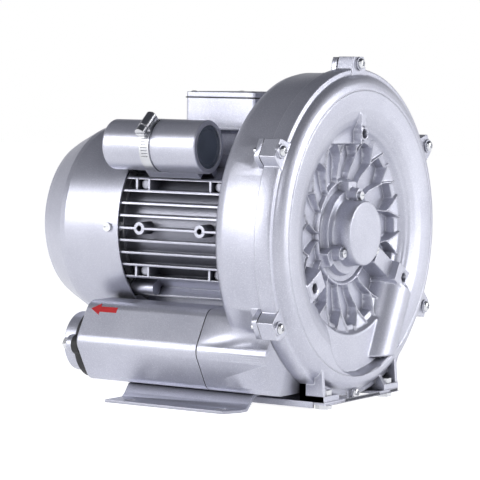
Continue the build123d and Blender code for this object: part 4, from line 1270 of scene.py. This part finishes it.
@dataclass
class FlushLid:
    """Thin box lid, flush with the walls, with a raised field and low screws."""

    half_x: float = 45.0
    ends: Point = (77.0, 150.0)
    levels: Point = (117.0, 122.0)
    round_by: float = 3.0
    corner_steps: int = 6
    field_inset: float = 7.5
    field_rise: float = 0.5
    edge_soft: float = 0.4
    edge_shrink: float = 0.993
    screw_inset: float = 5.5
    screw_radius: float = 3.2
    screw_rise: float = 0.35
    shank_radius: float = 1.7
    shank_end: float = 109.5
    segments: int = 24

    def build(self, wardrobe: Wardrobe) -> None:
        """Make the lid, its raised field and the screws.

        Args:
            wardrobe: Finishes to take the cast paint and the plating from.
        """
        build = bmesh.new()
        bottom, top = self.levels
        self.add_plate(build, 0.0, bottom, top - self.field_rise)
        self.add_plate(build, self.field_inset, top - self.field_rise - 0.1, top)
        piece = mesh_piece("flush_lid", build, wardrobe.materials[Slot.CASTING])
        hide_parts("terminal_box_lid")
        finish_piece(piece)
        screws = bmesh.new()
        for x in (-self.half_x + self.screw_inset, self.half_x - self.screw_inset):
            for y in (self.ends[0] + self.screw_inset, self.ends[1] - self.screw_inset):
                self.add_screw(screws, (x, y))
        piece = mesh_piece("lid_screw_heads", screws, wardrobe.materials[Slot.ZINC], True)
        piece.data.set_sharp_from_angle(angle=math.radians(40))
        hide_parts("terminal_box_screws")
        finish_piece(piece)

    def add_plate(self, build: bmesh.types.BMesh, inset: float, low: float, high: float) -> None:
        """Add one round-cornered plate with softened top edges.

        Args:
            build: Mesh of the lid.
            inset: Distance in from the lid's edge.
            low: Its underside.
            high: Its top.
        """
        middle_y = (self.ends[0] + self.ends[1]) / 2
        reach_x = self.half_x - inset - self.round_by
        reach_y = (self.ends[1] - self.ends[0]) / 2 - inset - self.round_by
        outline = []
        for cx, cy, start in ((1, 1, 0), (-1, 1, 90), (-1, -1, 180), (1, -1, 270)):
            for step in range(self.corner_steps + 1):
                x, y = polar(self.round_by, start + 90 * step / self.corner_steps)
                outline.append((cx * reach_x + x, middle_y + cy * reach_y + y))
        rings = []
        for share, level in ((1, low), (1, high - self.edge_soft), (self.edge_shrink, high)):
            rings.append([build.verts.new(drawing(x * share, middle_y + (y - middle_y) * share,
                                                  level)) for x, y in outline])
        close_prism(build, rings)

    def add_screw(self, build: bmesh.types.BMesh, centre: Point) -> None:
        """Add one low screw with a slotless domed head and its shank.

        Args:
            build: Mesh of the screws.
            centre: Its x and y.
        """
        top = self.levels[1] + self.screw_rise
        shape = [(SMALLEST_RADIUS, top), (self.screw_radius / 2, top),
                 (self.screw_radius * 0.8, top - 0.35), (self.screw_radius, top - 0.9),
                 (self.screw_radius, top - 1.4), (self.shank_radius, top - 1.4),
                 (self.shank_radius, self.shank_end), (SMALLEST_RADIUS, self.shank_end)]
        skin(build, [[build.verts.new(drawing(x, y, z))
                      for x, y in circle(centre, radius, self.segments)]
                     for radius, z in shape])


# ------------------------------------------------------------------ studio

@dataclass
class Viewpoint:
    """Camera of the studio, placed by angles about the front end of the shaft."""

    azimuth: float = -57.527
    elevation: float = 3.916
    roll: float = 0.791
    distance: float = 2105.35 * MM
    slide_right: float = 100.72 * MM
    slide_up: float = 6.354 * MM
    lens: float = 180.0
    sensor: float = 36.0
    near: float = 0.05
    far: float = 30.0

    def build(self) -> None:
        """Place the camera and make it the scene's own."""
        a, e, r = (math.radians(v) for v in (self.azimuth, self.elevation, self.roll))
        back = Vector((math.sin(a) * math.cos(e), -math.cos(a) * math.cos(e), math.sin(e)))
        right = Vector((math.cos(a), math.sin(a), 0))
        up = back.cross(right)
        turned_right = right * math.cos(r) + up * math.sin(r)
        turned_up = up * math.cos(r) - right * math.sin(r)
        spot = back * self.distance - turned_right * self.slide_right - turned_up * self.slide_up
        data = bpy.data.cameras.new("studio camera")
        data.lens = self.lens
        data.sensor_width = self.sensor
        data.clip_start = self.near
        data.clip_end = self.far
        camera = bpy.data.objects.new("studio_camera", data)
        bpy.context.scene.collection.objects.link(camera)
        turn = Matrix((turned_right, turned_up, back)).transposed().to_4x4()
        camera.matrix_world = Matrix.Translation(spot + drawing(0, 0, 0)) @ turn
        bpy.context.scene.camera = camera


@dataclass
class Studio:
    """Pale floor and backdrop with soft lights, sizes in metres."""

    floor_half: float = 6.0
    floor_colour: Colour = (0.80, 0.80, 0.80)
    aim: Vector = field(default_factory=lambda: Vector((0, 0, 0.15)))
    wall: Colour = (0.86, 0.86, 0.88)
    ceiling: Colour = (0.03, 0.033, 0.045)
    ceiling_from: float = 0.12
    ceiling_to: float = 0.55
    floor_glow: float = 0.90
    lamps: tuple[tuple[str, Vector, float, float], ...] = (
        ("left", Vector((-2.1, 1.3, 0.9)), 1.3, 26.0),
        ("right", Vector((1.5, -2.3, 0.8)), 1.3, 30.0),
        ("near", Vector((-1.9, -1.5, 1.3)), 0.6, 9.0),
    )

    def build(self) -> None:
        """Make the floor, the world and the lamps."""
        self.make_floor()
        self.make_world()
        for name, spot, size, power in self.lamps:
            self.make_lamp(name, spot, size, power)
        bpy.context.scene.view_settings.view_transform = "Standard"

    def make_floor(self) -> None:
        """Lay a white floor that keeps the shadow."""
        build = bmesh.new()
        bmesh.ops.create_grid(build, x_segments=2, y_segments=2, size=self.floor_half)
        material = bpy.data.materials.new("white floor")
        material.use_nodes = True
        tree = Tree(material.node_tree)
        shader = material.node_tree.nodes["Principled BSDF"]
        shader.inputs["Base Color"].default_value = (*self.floor_colour, 1.0)
        shader.inputs["Roughness"].default_value = 0.9
        sight = tree.add("ShaderNodeLightPath")
        seen = tree.maths("MAXIMUM", sight.outputs["Is Camera Ray"],
                          sight.outputs["Is Glossy Ray"])
        seen = tree.maths("MAXIMUM", seen, sight.outputs["Is Transmission Ray"])
        shader.inputs["Emission Color"].default_value = (1.0, 1.0, 1.0, 1.0)
        glow = tree.maths("MULTIPLY", seen, self.floor_glow)
        tree.link(glow, shader.inputs["Emission Strength"])
        floor = mesh_piece("studio_floor", build, material)

    def make_world(self) -> None:
        """White surroundings to the eye, and a bright room with a dim ceiling as a light."""
        world = bpy.data.worlds.new("white surroundings")
        bpy.context.scene.world = world
        world.use_nodes = True
        tree = Tree(world.node_tree)
        back = world.node_tree.nodes["Background"]
        place = tree.add("ShaderNodeTexCoord")
        split = tree.add("ShaderNodeSeparateXYZ")
        tree.link(place.outputs["Generated"], split.inputs[0])
        height = tree.ramp(split.outputs["Z"], self.ceiling_from, self.ceiling_to)
        room = tree.blend(height, self.wall, self.ceiling)
        sight = tree.add("ShaderNodeLightPath")
        white = tree.blend(sight.outputs["Is Camera Ray"], room, (1.0, 1.0, 1.0))
        tree.link(white, back.inputs["Color"])
        back.inputs["Strength"].default_value = 1.0

    def make_lamp(self, name: str, spot: Vector, size: float, power: float) -> None:
        """Hang one soft square lamp that faces the blower.

        Args:
            name: Name of the lamp.
            spot: Where it hangs.
            size: Side of the square.
            power: Watts.
        """
        data = bpy.data.lights.new(name + " lamp", "AREA")
        data.size = size
        data.energy = power
        lamp = bpy.data.objects.new(name + "_lamp", data)
        bpy.context.scene.collection.objects.link(lamp)
        lamp.location = spot
        lamp.rotation_mode = "QUATERNION"
        lamp.rotation_quaternion = (self.aim - spot).to_track_quat("-Z", "Y")


def main() -> None:
    """Build the pieces in order and report each one."""
    logging.basicConfig(level=logging.INFO, format="%(message)s")
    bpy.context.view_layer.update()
    Viewpoint().build()
    Studio().build()
    wardrobe = Wardrobe()
    LOG.info("dressed %d solids", wardrobe.dress_solids())
    for assembly in (CoverFace(), CoverScrews(), HOUSING, BASE, FlangeSeals(), FlushLid(),
                     PortThreads(), FlowArrow()):
        assembly.build(wardrobe)


if __name__ == "__main__":
    main()
